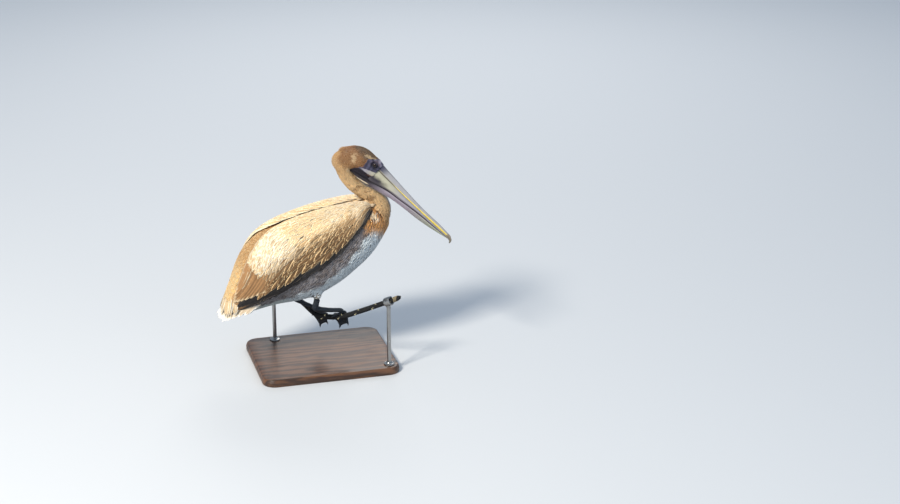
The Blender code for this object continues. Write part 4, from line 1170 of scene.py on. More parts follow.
def cover_trunk():
    rng = np.random.default_rng(121)
    at = np.arange(326.0, -212.0, -5.9)
    p, s, th = ring_points(trunk_ring, at, lambda a: 4.0 if a > 230 else 4.5, rng, jitter=0.8)
    label, gap = nearest_label(p)
    side = np.where(th > pi, 2 * pi - th, th)
    clipped = np.clip(s, -200, 300)
    c = curve(TRUNK, 1, s)
    tt, yy = trunk_section(s, th)
    angle = np.arctan2(np.abs(yy), tt - c)
    high = angle_at_side(s, curve(WING, 2, s))
    low = angle_at_height(s, curve(WING, 1, s))
    parameter_high, parameter_low = high, low
    hidden = (side > parameter_high + 0.10) & (side < parameter_low - 0.16) & (s > -196) & (s < 296)
    keep = (gap < 0.008) & ((label == 0) | (label == 3)) & ~hidden
    p, s, th, side, high, low = p[keep], s[keep], th[keep], side[keep], high[keep], low[keep]
    label = label[keep]
    tones, rims = trunk_tones(p, 122)
    back = smoothstep(0.3, 0.0, side - high) * smoothstep(290, 250, s)
    rump = back * smoothstep(-30, -90, s)
    front = smoothstep(225, 290, s)
    length = 25 - 5 * front + 6 * back + 16 * rump
    width = 7.0 - 1.3 * front + 2.6 * back + 3.2 * rump
    furrow = back * smoothstep(20, 50, s) * smoothstep(292, 272, s)
    cling = 1.0 - 0.5 * rump
    for name, pick in (("coat_breast", (side > high + 0.1) & (s > 125)), ("coat_belly", (side > high + 0.1) & (s <= 125)), ("coat_back", side <= high + 0.1)):
        soft = name != "coat_back"
        coat = Coat(name)
        small = pick
        small_feathers(
            coat, p[small], length[small], width[small], tones[small], rims[small], np.stack([s, th], 1)[small], (5.6 - 0.8 * front)[small],
            123, aim=0.13, rows=5 if soft else 6, thick=0.3 if soft else 0.45, tip=(0.0 - 5.5 * furrow)[small], cling=cling[small], columns=SMALL if soft else MIDDLE,
            camber=0.05 if soft else 0.12, power=1.8 if soft else 1.2, lift=0.08 if soft else 0.2, roll=0.05 if soft else 0.1,
        )
        coat.finish(down_mat if soft else vane_mat)


THIGHS = {"right": [(-36, -37, 136), (-47, -45, 106), (-51, -49, 79)], "left": [(-94, 39, 144), (-107, 48, 113), (-113.5, 53, 83)]}
THIGH_RADII = [23, 18, 11.5]


def cover_thighs():
    rng = np.random.default_rng(131)
    coat = Coat("coat_thighs")
    for side, path in THIGHS.items():
        rows = [tuple([i, *row, r]) for i, (row, r) in enumerate(zip(path, THIGH_RADII))]

        def ring(k, th):
            x, y, z, r = (curve(rows, j, np.clip(k, 0, 2)) for j in (1, 2, 3, 4))
            down = unit(np.stack([curve(rows, j, np.clip(k + 0.05, 0, 2)) - curve(rows, j, np.clip(k - 0.05, 0, 2)) for j in (1, 2, 3)], -1))
            a = unit(np.cross(down, np.array((0.0, 1.0, 0.0))))
            b = np.cross(down, a)
            return PERCH + (np.stack([x, y, z], -1) + r[..., None] * (a * np.cos(th)[..., None] + b * np.sin(th)[..., None])) * MM

        for i, k in enumerate(np.arange(0.0, 1.9, 0.15)):
            p, kk, th = ring_points(ring, np.array([k, k + 0.15]), 4.2 - 1.0 * k / 2, rng)
            half = len(p) // 2
            p, kk, th = (p[:half], kk[:half], th[:half]) if i % 2 == 0 else (p[half:], kk[half:] - 0.15, th[half:])
            label, gap = nearest_label(p)
            keep = (gap < 0.006) & (label == 3)
            if keep.sum() == 0:
                continue
            p, kk, th = p[keep], kk[keep], th[keep]
            tones, rims = thigh_tones(p, 132 + i)
            place = np.stack([kk + (3 if side == "left" else 0), th], 1)
            small_feathers(coat, p, 13 - 3 * k / 2, 5.0 - 1.2 * k / 2, tones, rims, place, 2.8 - 0.8 * k / 2, 140 + i, aim=0.14, thick=0.5, cling=0.9)
    coat.finish(fine_mat)


cover_head()
cover_neck()
cover_trunk()
cover_thighs()


# ---------------------------------------------------------------- wings
def wing_normals(s, b, lift):
    e = 1.5
    ds = wing_surface(s + e, b, lift) - wing_surface(s - e, b, lift)
    db = wing_surface(s, b + 0.012, lift) - wing_surface(s, b - 0.012, lift)
    return unit(np.cross(ds, db))


def wing_girth(s):
    b = np.linspace(0, 1, 60)
    p = wing_surface(np.broadcast_to(np.asarray(s, float)[..., None], (*np.shape(s), 60)), b, 0.0)
    return np.linalg.norm(np.diff(p, axis=-2), axis=-1).sum(-1) / MM


WING_AT = np.linspace(-205, 303, 80)
WING_GIRTH = wing_girth(WING_AT)


def wing_spines(s0, b0, length, heading, bend, base, tip, rows, power=0.8):
    """Spines on the left wing's outer face. heading and bend in degrees: how far each turns down from the wing's length, at its root and more toward its tip."""
    n = len(s0)
    t = np.linspace(0, 1, rows)
    fine = np.linspace(0, 1, 4 * rows - 3)
    turn = np.radians(np.broadcast_to(heading, n)[:, None] + np.broadcast_to(bend, n)[:, None] * fine)
    step = np.broadcast_to(length, n)[:, None] / (4 * rows - 4)
    s = s0[:, None] - np.concatenate([np.zeros((n, 1)), np.cumsum(np.cos(turn[:, :-1]) * step, 1)], 1)
    g = np.interp(s, WING_AT, WING_GIRTH)
    b = b0[:, None] + np.concatenate([np.zeros((n, 1)), np.cumsum(np.sin(turn[:, :-1]) * step / g[:, :-1], 1)], 1)
    s, b = s[:, ::4], b[:, ::4]
    lift = np.broadcast_to(base, n)[:, None] + (np.broadcast_to(tip, n) - np.broadcast_to(base, n))[:, None] * t[None] ** power
    p = wing_surface(s, b, lift)
    up = wing_normals(s, b, lift)
    out = p - wing_surface(s, b, lift - 5.0)
    up = up * np.sign((up * out).sum(-1, keepdims=True))
    return p, up, s, b


def mirror(spine, up, side):
    if side > 0:
        return spine, up
    flip = np.array((1.0, -1.0, 1.0))
    return spine * flip, up * flip


ROUND = [0.42, 0.76, 0.96, 1.0, 0.86, 0.58, 0.12]
BLUNT = [0.30, 0.58, 0.80, 0.94, 1.0, 0.98, 0.90, 0.74, 0.48, 0.10]
LONG = [0.22, 0.42, 0.62, 0.78, 0.90, 0.97, 1.0, 1.0, 0.98, 0.93, 0.84, 0.68, 0.42, 0.12]


def notch(half, rng, chance=0.35):
    """A few barbs part here and there along an edge."""
    n, k = half.shape
    cut = (rng.random((n, k)) < chance * 0.25) & (np.arange(k)[None] > 2) & (np.arange(k)[None] < k - 2)
    return half * np.where(cut, 0.86, 1.0)


def cover_wing(side):
    name = "left" if side > 0 else "right"
    seed = 200 if side > 0 else 300
    rng = np.random.default_rng(seed)
    tag = 0.0 if side > 0 else 1.0

    def put(coat, s0, b0, length, width, heading, bend, base, tip, shape, columns, thick, camber, tones, rims, size, twist=0.05, lopsided=0.0):
        n = len(s0)
        rows = len(shape)
        spine, up, ss, bb = wing_spines(s0, b0, length, heading, bend, base, tip, rows)
        spine, up = mirror(spine, up, side)
        half = notch(0.5 * np.broadcast_to(width, n)[:, None] * profile(n, shape, rng, 0.035) * MM, rng)
        skew = 1 + lopsided * side + 0.06 * rng.normal(size=(n, 1))
        place = np.stack([s0, b0 * 170], 1)
        coat.add(spine, up, half * skew, half / skew, np.full((n, 1), thick * MM), np.full((n, 1), camber), columns, tones, rims, place, size, seed + len(coat.points), roll=twist * rng.normal(size=n))

    def grizzled(colour, at, amount):
        return mix(colour, lin(88, 82, 78), amount * smoothstep(150, 260, at))

    # quills of the wing: primaries under secondaries
    quills = Coat(f"wing_{name}_quills")
    k = np.arange(9)
    s0 = 30.0 - 9.0 * k
    b0 = 0.90 - 0.045 * k
    end = np.array([-92, -112, -131, -148, -163, -176, -187, -196, -203.0])
    dark = np.tile(lin(40, 37, 36), (9, 1)) * spread(rng, 9, 0.12)
    put(quills, s0, b0, s0 - end, 23.0, 3.0, 2.0, -3.6, -3.0 + 0.12 * k, LONG, BROAD, 0.9, 0.10, join(dark, 0.8), dark * 2.2, 0.03, lopsided=0.2)
    k = np.arange(26)
    s0 = 280.0 - 12.9 * k
    b0 = np.full(26, 0.735)
    b0 += -0.05 * smoothstep(240, 288, s0)
    dark = grizzled(np.tile(lin(50, 46, 44), (26, 1)) * spread(rng, 26, 0.14), s0, 0.8)
    put(quills, s0, b0, 104.0 + 4 * rng.normal(size=26), 24.0, 14.0, 9.0, -5.4, -4.0, LONG, BROAD, 0.7, 0.06, join(dark, 0.72), np.tile(lin(158, 142, 120), (26, 1)) * spread(rng, 26, 0.1), 0.03, lopsided=0.15)
    # small dark quills of the wrist's under edge
    k = np.arange(34)
    s0 = 292.0 - 11.6 * k + 2 * rng.normal(size=34)
    b0 = 0.86 + 0.015 * rng.normal(size=34)
    dark = grizzled(np.tile(lin(58, 52, 48), (34, 1)) * spread(rng, 34, 0.14), s0, 1.0)
    put(quills, s0, b0, 46.0, 15.0, 12.0, 6.0, -5.2, -3.6, BLUNT, BROAD, 0.7, 0.07, join(dark, 0.6), np.tile(lin(150, 136, 116), (34, 1)) * spread(rng, 34, 0.1), 0.02)
    k = np.arange(52)
    s0 = 298.0 - 8.4 * k + 1.5 * rng.normal(size=52)
    b0 = 0.985 + 0.012 * rng.normal(size=52)
    shade = mix(np.tile(lin(72, 66, 60), (52, 1)), lin(48, 44, 42), smoothstep(200, 100, s0)) * spread(rng, 52, 0.12)
    put(quills, s0, b0, 32.0, 14.0, 3.0, 2.0, -9.0, -4.5, BLUNT, BROAD, 0.8, 0.3, join(shade, 0.6), shade * 1.9, 0.015, twist=0.1)
    k = np.arange(52)
    s0 = 302.0 - 8.4 * k + 1.5 * rng.normal(size=52)
    b0 = 1.0 + 0.02 * rng.random(52)
    shade = shade[rng.permutation(52)]
    put(quills, s0, b0, 30.0, 12.0, 1.0, 1.0, -14.0, -10.0, BLUNT, BROAD, 0.8, 0.3, join(shade, 0.6), shade * 1.8, 0.015, twist=0.1)
    quills.finish(flight_mat)

    # coverts in rows from the lower edge up
    coverts = Coat(f"wing_{name}_coverts")
    edge = [(300, 0.92), (287, 0.94), (251, 0.965), (205, 0.955), (138, 0.935), (80, 0.91), (23, 0.87), (-23, 0.82), (-74, 0.73), (-121, 0.70), (-160, 0.72)]
    row, share = 0, 1.0
    while share > -0.02:
        # share runs from the coverts' lower edge, 1, to the wing's upper edge, 0
        length = np.interp(share, [0.0, 0.35, 0.6, 0.8, 1.0], [19, 23, 31, 46, 58])
        width = np.interp(share, [0.0, 0.35, 0.6, 0.8, 1.0], [7.4, 8.2, 10.2, 13.0, 16.0])
        gap = width * 0.86 if share > 0.7 else width * 0.95
        s0 = np.arange(311.0 - (row % 2) * gap * 0.5, -90.0, -gap)
        s0 = s0 + 0.22 * gap * rng.normal(size=len(s0))
        shrink = 0.72 + 0.28 * smoothstep(300, 215, s0)
        low = np.interp(s0, [r[0] for r in edge][::-1], [r[1] for r in edge][::-1])
        b_tip = low * share + 0.008 * rng.normal(size=len(s0))
        g = np.interp(s0, WING_AT, WING_GIRTH)
        ll = length * shrink * (1 + 0.08 * rng.normal(size=len(s0)))
        b0 = b_tip - ll * sin(radians(11)) / g
        keep = (b0 > np.where(s0 > 288, -0.045, 0.012)) & (s0 - ll > -88 - 14 * rng.random(len(s0)) - 60 * (b_tip > 0.66))
        s0, b0, ll, b_tip = s0[keep], b0[keep], ll[keep], b_tip[keep]
        if len(s0):
            p = wing_surface(s0 - 0.6 * ll, b_tip, 0)
            p = p * np.array((1.0, side, 1.0))
            tones, rims = wing_tones(p, s0 - 0.6 * ll, np.clip(b_tip / np.interp(s0, [r[0] for r in edge][::-1], [r[1] for r in edge][::-1]) * 0.78, 0, 1), seed + row)
            big = share > 0.55
            tip = -0.2 + (-0.5) * smoothstep(0.6, 1.0, share) + 0 * s0
            put(coverts, s0, b0, ll, width * shrink[keep], 7.0 + 4 * rng.normal(size=len(s0)), 5.0, tip - 2.6 - 4.5 * smoothstep(296, 309, s0), tip, BLUNT if big else ROUND, BROAD if big else MIDDLE, 0.75, 0.16, tones, rims, 0.014 if big else 0.006, twist=0.06)
        share -= (4.6 if share < 0.35 else (5.6 if share < 0.6 else 8.0 if share < 0.8 else 11.0)) / 140
        row += 1
    coverts.finish(vane_mat)

    # shoulder and inner feathers, over the coverts
    inner = Coat(f"wing_{name}_inner")
    s0, b0 = [], []
    for i, b in enumerate(np.linspace(0.012, 0.40, 9)):
        top = np.interp(b, [0.0, 0.15, 0.40], [235, 150, 40])
        cells = np.arange(top - (i % 2) * 6, -50, -12.0)
        s0.append(cells)
        b0.append(np.full(len(cells), b))
    s0, b0 = np.concatenate(s0), np.concatenate(b0)
    n = len(s0)
    s0 = s0 + 2.5 * rng.normal(size=n)
    b0 = b0 + 0.008 * rng.normal(size=n)
    size = smoothstep(240, 60, s0)
    ll = 30 + 36 * size + 3 * rng.normal(size=n)
    ww = 11.5 + 7 * size
    ll = np.clip(np.minimum(ll, s0 + 84 + 12 * rng.random(n)), 26, None)
    order = np.argsort(s0)
    s0, b0, ll, ww = s0[order], b0[order], ll[order], ww[order]
    p = wing_surface(s0 - 0.6 * ll, b0, 0) * np.array((1.0, side, 1.0))
    tones, rims = wing_tones(p, s0 - 0.6 * ll, np.clip(b0 + 0.05, 0.02, 0.6), seed + 60)
    put(inner, s0, b0, ll, ww, 6.0 + 3 * rng.normal(size=n), 6.0, -2.6, 0.15 + 0.1 * rng.normal(size=n), BLUNT, BROAD, 0.8, 0.15, tones, rims, 0.02)
    # tertials: long blades over the wing's end
    s0 = np.array([44, 34, 24, 14, 4, -6, -16, -26, -34, -40, -44.0])
    b0 = np.array([0.66, 0.60, 0.545, 0.49, 0.43, 0.37, 0.31, 0.25, 0.18, 0.11, 0.04])
    k = np.arange(len(s0))
    end = np.array([-112, -132, -150, -166, -179, -189, -196, -199, -192, -182, -170.0])
    p = wing_surface(s0 - 60, b0, 0)
    tones, rims = wing_tones(p, s0 - 90, b0, seed + 61)
    tones[:, :3] = np.tile(lin(150, 112, 74), (len(k), 1)) * spread(rng, len(k), 0.2)
    rims = np.tile(lin(238, 210, 168), (len(k), 1)) * spread(rng, len(k), 0.05)
    tones[:, 3] = 0.55
    put(inner, s0, b0, s0 - end, 27.0, 2.0, 3.0, -2.9, -0.9 + 0.1 * k, LONG, BROAD, 0.95, 0.12, tones, rims, 0.05, twist=0.03)
    inner.finish(vane_mat)


cover_wing(1)
cover_wing(-1)


# ---------------------------------------------------------------- tail
def tail_point(d, f, lift):
    s = TAIL_ROOT[0] + (TAIL_TIP[0] - TAIL_ROOT[0]) * d
    y = (TAIL_HALF[0] + (TAIL_HALF[1] - TAIL_HALF[0]) * d) * f
    drop = TAIL_DROP[1] + (TAIL_DROP[0] - TAIL_DROP[1]) * (1 - np.clip(d, 0, 1)) ** 1.3
    t = TAIL_ROOT[1] + (TAIL_TIP[1] - TAIL_ROOT[1]) * d - drop * f**2 + TAIL_ROLL * y + lift
    return body_point(s, t, y)


def cover_tail():
    rng = np.random.default_rng(401)
    coat = Coat("tail_feathers")
    # stiff feathers from the outermost to the middle, each over the one outside it
    for layer, (count, scale, sink_by, tone, edge) in enumerate(((22, 1.0, 0.0, (236, 226, 206), (254, 251, 244)), (20, 0.62, -3.4, (216, 206, 188), (244, 240, 230)), (24, 0.46, 3.0, (208, 178, 136), (250, 240, 220)))):
        f = np.linspace(-0.90, 0.90, count)
        f = f[np.argsort(-np.abs(f), kind="stable")]
        n = len(f)
        reach = (1 - 0.6 * np.abs(f) ** 3.6) * scale * (1 + 0.02 * rng.normal(size=n))
        rows = 14 if layer == 0 else 10
        tau = np.linspace(0.0 if layer == 0 else -0.05, 1, rows)
        d = tau[None] * reach[:, None]
        spreading = 0.80 + 0.20 * tau[None]
        ff = f[:, None] * spreading
        thick = (8 + (3.6 - 8) * d) * (1 - 0.35 * ff**2)
        face = -0.32 * thick if layer == 1 else 0.30 * thick
        lift = face + (1.1 - 1.9 * np.abs(f))[:, None] * (0.5 if layer == 1 else 0.8) + (0.8 if layer == 2 else 0.0) * (1 - tau[None])
        p = tail_point(d, ff, lift)
        e = 0.01
        across = tail_point(d, ff + e, lift) - tail_point(d, ff - e, lift)
        along = tail_point(d + e, ff, lift) - tail_point(d - e, ff, lift)
        up = unit(np.cross(across, along))
        up = up * np.sign((up * UPWARD).sum(-1, keepdims=True)) * (1 if layer != 1 else -1)
        shape = LONG if layer == 0 else BLUNT
        half = notch(0.5 * (21.0 if layer == 0 else 15.0) * np.array(shape)[None] * (1 + 0.03 * rng.normal(size=(n, rows))) * MM, rng)
        outer = 1 - 0.22 * np.sign(f)[:, None]
        centre = np.tile(lin(*tone), (n, 1)) * spread(rng, n, 0.05)
        if layer == 0:
            centre = mix(centre, lin(188, 152, 104), 0.5 * (np.abs(f) > 0.55))
        rim = np.tile(lin(*edge), (n, 1)) * spread(rng, n, 0.03)
        coat.add(p, up, half * outer, half * (2 - outer), np.full((n, 1), 0.9 * MM), np.full((n, 1), 0.12), BROAD, join(centre, 0.5), rim, np.stack([f * 60, np.full(n, layer * 60.0)], 1), 0.045, 402 + layer, roll=0.04 * rng.normal(size=n))
    for r, (root, end, above, count) in enumerate(((-199, -246, 1.5, 15), (-184, -237, 3.4, 15), (-168, -226, 5.6, 14), (-150, -214, 9.5, 13))):
        f = np.linspace(-0.78, 0.78, count) + 0.02 * rng.normal(size=count) + 0.02 * (r % 2)
        side = curve(TRUNK, 4, float(root))
        t0, y0 = trunk_section(np.full(count, float(root)), np.arcsin(np.clip(f * 0.86, -1, 1)))
        p0 = body_point(np.full(count, float(root)), t0 - 3.0, y0)
        d = (TAIL_ROOT[0] - (end + 4 * rng.normal(size=count))) / (TAIL_ROOT[0] - TAIL_TIP[0])
        d = np.minimum(d, (1 - 0.6 * np.abs(f) ** 3.6) * 0.93)
        p2 = tail_point(d, f, 3.0 + above)
        p1 = 0.5 * (p0 + p2) + UPWARD * (6.5 - 1.0 * r) * MM
        tau = np.linspace(0, 1, 9)[None, :, None]
        spine = p0[:, None] * (1 - tau) ** 2 + 2 * p1[:, None] * tau * (1 - tau) + p2[:, None] * tau**2
        along = unit(np.gradient(spine, axis=1))
        out = np.zeros_like(spine) + UPWARD
        out[..., 1] += (y0 / 95)[:, None]
        up = unit(out - along * (out * along).sum(-1, keepdims=True))
        half = 0.5 * 17.0 * np.interp(np.linspace(0, 1, 9), np.linspace(0, 1, 10), BLUNT)[None] * (1 + 0.05 * rng.normal(size=(count, 9))) * MM
        centre = np.tile(lin(212, 184, 142), (count, 1)) * spread(rng, count, 0.07)
        rim = np.tile(lin(248, 238, 218), (count, 1)) * spread(rng, count, 0.03)
        coat.add(spine, up, half, half, np.full((count, 1), 0.8 * MM), np.full((count, 1), 0.2), BROAD, join(centre, 0.45), rim, np.stack([f * 60, np.full(count, 200.0 + r * 22)], 1), 0.03, 430 + r, roll=0.06 * rng.normal(size=count))
    ob = coat.finish(flight_mat)
    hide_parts("tail")


cover_tail()


# ---------------------------------------------------------------- bill
def half_loop(vm, groove, ridge, rh, h, n=3):
    """Right half of the upper bill's section, from under the middle round to the ridge, and each point's place along it from 0 to 9."""
    rim = np.minimum(3, 0.35 * (groove - vm))
    key = np.stack([
        np.stack([0 * h, vm], -1),
        np.stack([0.55 * h, vm], -1),
        np.stack([h - 1, vm], -1),
        np.stack([h, vm + 0.45 * rim], -1),
        np.stack([h - 0.5, vm + rim], -1),
        np.stack([0.52 * h + 0.48 * rh, vm + rim + 0.72 * (groove - vm - rim)], -1),
        np.stack([rh + 0.4, groove], -1),
        np.stack([0.8 * rh, groove + 0.45 * (ridge - groove)], -1),
        np.stack([0.42 * rh, groove + 0.86 * (ridge - groove)], -1),
        np.stack([0 * rh, ridge], -1),
    ], -2)
    at = np.concatenate([[0.0, 0.6, 1.2], np.linspace(1.8, 5.5, 16), np.linspace(5.65, 6.35, 8), np.linspace(6.5, 9.0, 12)])
    i = np.clip(at.astype(int), 0, 8)
    f = (at - i)[:, None]
    before, after = key[..., np.clip(i - 1, 0, 9), :], key[..., np.clip(i + 2, 0, 9), :]
    after = np.where((i + 2 > 9)[:, None], key[..., 8:9, :] * np.array((-1.0, 1.0)), after)
    a, b = key[..., i, :], key[..., i + 1, :]
    corner = np.isin(i, (1, 2))[:, None]
    smooth = 0.5 * (2 * a + (b - before) * f + (2 * before - 5 * a + 4 * b - after) * f**2 + (3 * a - before - 3 * b + after) * f**3)
    return np.where(corner, a * (1 - f) + b * f, smooth), at


def closed_rings(rings):
    """Faces of a tube of closed rings with both ends capped: rings (m, k, 3)."""
    m, k, _ = rings.shape
    i, j = np.meshgrid(np.arange(m - 1), np.arange(k), indexing="ij")
    jn = (j + 1) % k
    q = np.stack([i * k + j, i * k + jn, (i + 1) * k + jn, (i + 1) * k + j], -1).reshape(-1, 4)
    caps = np.array([np.arange(k)[::-1], (m - 1) * k + np.arange(k)])
    p = rings.reshape(-1, 3)
    tri = np.concatenate([q[:, [0, 1, 2]], q[:, [0, 2, 3]]])
    if np.einsum("ij,ij->i", p[tri[:, 0]], np.cross(p[tri[:, 1]], p[tri[:, 2]])).sum() + sum(
        np.dot(p[c[0]], np.cross(p[c[a]], p[c[a + 1]])) for c in caps for a in range(1, k - 1)
    ) < 0:
        q, caps = q[:, ::-1], caps[:, ::-1]
    return q, caps


def build_bill():
    stations = np.concatenate([[4.0, 8.0], np.arange(12.5, 301.1, 2.6)])
    vm = curve([(r[0], r[1]) for r in MOUTH], 1, stations)
    groove, ridge, rh, h, tilt = (curve(UPPER, k, stations) for k in (1, 2, 3, 4, 5))
    shrink = np.where(stations < 12, 1.4, 0.0)
    loop, at = half_loop(vm + shrink, groove, ridge - shrink, rh - shrink * 0.5, h - shrink)
    u0, v0, a0 = stations, vm, np.radians(tilt)
    lift = loop[..., 1] - vm[:, None]
    width = loop[..., 0]
    uu = u0[:, None] + lift * np.sin(a0)[:, None]
    vv = v0[:, None] + lift * np.cos(a0)[:, None]
    keys_u, keys_v, keys_w, where = [*uu], [*vv], [*width], [*stations]
    # the hooked nail
    last = (uu[-1], vv[-1], width[-1])
    shapes = [last]
    for u, v, tall, half, turn in NAIL:
        one, _ = half_loop(np.array([0.0]), np.array([0.55 * tall]), np.array([tall]), np.array([0.5 * half]), np.array([half]))
        one = one[0]
        shapes.append((u + one[:, 1] * sin(radians(turn)), v + one[:, 1] * cos(radians(turn)), one[:, 0]))
    for j in range(1, len(shapes)):
        a, b = shapes[j - 1], shapes[j]
        for f in (0.25, 0.5, 0.75, 1.0):
            keys_u.append(a[0] * (1 - f) + b[0] * f)
            keys_v.append(a[1] * (1 - f) + b[1] * f)
            keys_w.append(a[2] * (1 - f) + b[2] * f)
            where.append(301 + 3.0 * (j - 1 + f))
    U, V, W = np.array(keys_u), np.array(keys_v), np.array(keys_w)
    where = np.array(where)
    # groove, the nail's step and low ripples in the horn
    dip = 0.75 * np.exp(-(((at[None] - 6.0) / 0.18) ** 2)) * smoothstep(14, 30, where)[:, None] * smoothstep(304, 290, where)[:, None]
    dip += 0.35 * np.exp(-(((at[None] - 4.05) / 0.16) ** 2)) * smoothstep(14, 30, where)[:, None]
    dip += 0.45 * np.exp(-(((where[:, None] - 286 - 3 * np.sin(at[None])) / 1.6) ** 2)) * (at[None] > 4.2)
    W = np.maximum(W - dip * np.minimum(1, W / 4), 0)
    scale_w = 1.0
    sides = []
    for sign in (1, -1):
        sides.append(head_point(U, V, sign * W * scale_w))
    right, left = sides
    ring = np.concatenate([right, left[:, -2:0:-1]], 1)
    index = np.concatenate([at, at[-2:0:-1]])
    rng_p = ring.reshape(-1, 3)
    q, caps = closed_rings(ring)
    me = raw_mesh("bill_upper_horn", rng_p, quads=q, ngons=caps)
    give(me, "band", np.broadcast_to(index, (len(ring), len(index))).ravel(), "FLOAT")
    give(me, "far", np.repeat(where, len(index)), "FLOAT")
    ob = add_object("bill_upper_horn", me, bill_material())
    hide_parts("bill_upper")

    # lower half with the folded pouch
    stations = np.concatenate([[-49.0], np.arange(-47.5, 299.9, 2.6), [300.0]])
    top = curve([(r[0], r[1]) for r in MOUTH], 1, stations) - 0.5
    bottom, half = curve(LOWER, 1, stations), curve(LOWER, 2, stations)
    top[0] -= 3
    half[0] *= 0.85
    phi = np.concatenate([np.linspace(0, 0.25, 6), np.linspace(0.3, pi / 2, 20)])
    side = half[:, None] * np.cos(phi)[None] ** 0.8
    v = top[:, None] - (top - bottom)[:, None] * np.sin(phi)[None] ** 0.95
    depth = top[:, None] - v
    total = (top - bottom)[:, None]
    reach = smoothstep(-49, -30, stations)[:, None] * smoothstep(300, 280, stations)[:, None]
    jaw = np.clip(5.5 - 0.006 * stations, 2.5, 6)[:, None]
    fold = -0.7 * np.exp(-(((depth - jaw) / 0.9) ** 2)) * (total > 7)
    pouch = smoothstep(jaw, jaw + 3, depth) * smoothstep(285, 220, stations)[:, None]
    grid = head_point(np.broadcast_to(stations[:, None], side.shape), v, side)
    wrinkle = 0.42 * np.sin(phi[None] * 21 + 2.4 * wave_noise(grid, 0.09, 61) + stations[:, None] * 0.012) + 0.3 * wave_noise(grid, 0.012, 62)
    side = np.maximum(side + (fold + wrinkle * pouch) * reach * np.minimum(1, side / 5), 0.0)
    v = v - 0.25 * wrinkle * pouch * reach
    inner = np.linspace(0.0, 1.0, 5)[1:]
    lid_w = half[:, None] * (1 - inner)[None]
    full_w = np.concatenate([side[:, ::-1], lid_w], 1)
    full_v = np.concatenate([v[:, ::-1], np.broadcast_to(top[:, None], lid_w.shape) - 1.2 * smoothstep(0.0, 0.5, inner)[None]], 1)
    tag = np.concatenate([phi[::-1] / (pi / 2) * 10, np.full(4, -1.0)])
    u_all = np.broadcast_to(stations[:, None], full_w.shape)
    a = head_point(u_all, full_v, full_w)
    b = head_point(u_all, full_v, -full_w)
    ring = np.concatenate([a, b[:, -2:0:-1]], 1)
    tags = np.concatenate([tag, tag[-2:0:-1]])
    depths = np.concatenate([np.concatenate([depth[:, ::-1], np.full((len(stations), 4), -1.0)], 1), np.concatenate([depth[:, ::-1], np.full((len(stations), 4), -1.0)], 1)[:, -2:0:-1]], 1)
    q, caps = closed_rings(ring)
    me = raw_mesh("bill_lower_pouch", ring.reshape(-1, 3), quads=q, ngons=caps)
    give(me, "band", np.broadcast_to(tags, (len(ring), len(tags))).ravel(), "FLOAT")
    give(me, "deep", depths.ravel(), "FLOAT")
    give(me, "far", np.repeat(stations, len(tags)), "FLOAT")
    ob = add_object("bill_lower_pouch", me, pouch_material())
    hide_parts("bill_lower")


def build_gape():
    """Dark skin of the mouth's corner, between the head and the lower bill."""
    mat, nt, bsdf = nodes_of("gape_skin")
    g = Net(nt)
    place = g.place()
    broad, fine = g.noise(place, 140.0, 4.0, 0.6), g.noise(place, 800.0, 3.0, 0.6)
    g.put(bsdf.inputs["Base Color"], g.mix(lin(12, 10, 15), lin(34, 28, 40), broad))
    g.put(bsdf.inputs["Roughness"], g.ramp(broad, 0.3, 0.7, 0.5, 0.72))
    bsdf.inputs["Specular IOR Level"].default_value = 0.18
    g.put(bsdf.inputs["Normal"], g.bump(g.math("ADD", broad, g.math("MULTIPLY", fine, 0.4)), 0.0006, 0.7))
    u = np.linspace(-60, 60, 90)
    mouth = curve([(r[0], r[1]) for r in MOUTH], 1, u)
    end = smoothstep(60, 20, u) * smoothstep(-60, -52, u)
    half = curve(LOWER, 2, u) * (0.55 + 0.34 * end)
    tall = 1.2 + 8.0 * smoothstep(16, -2, u) * (0.3 + 0.7 * smoothstep(-60, -50, u))
    th = np.linspace(0, 2 * pi, 72, endpoint=False)
    w = half[:, None] * signed_power(np.cos(th), 0.5)[None]
    v = mouth[:, None] + 0.2 * tall[:, None] + tall[:, None] * signed_power(np.sin(th), 0.9)[None]
    uu = np.broadcast_to(u[:, None], w.shape)
    grid = head_point(uu, v, w)
    v = v + 0.35 * wave_noise(grid, 0.009, 71)
    ring = head_point(uu, v, w + 0.3 * wave_noise(grid, 0.007, 72) * np.sign(w))
    q, caps = closed_rings(ring)
    ob = add_object("gape_skin", raw_mesh("gape_skin", ring.reshape(-1, 3), quads=q, ngons=caps), mat)


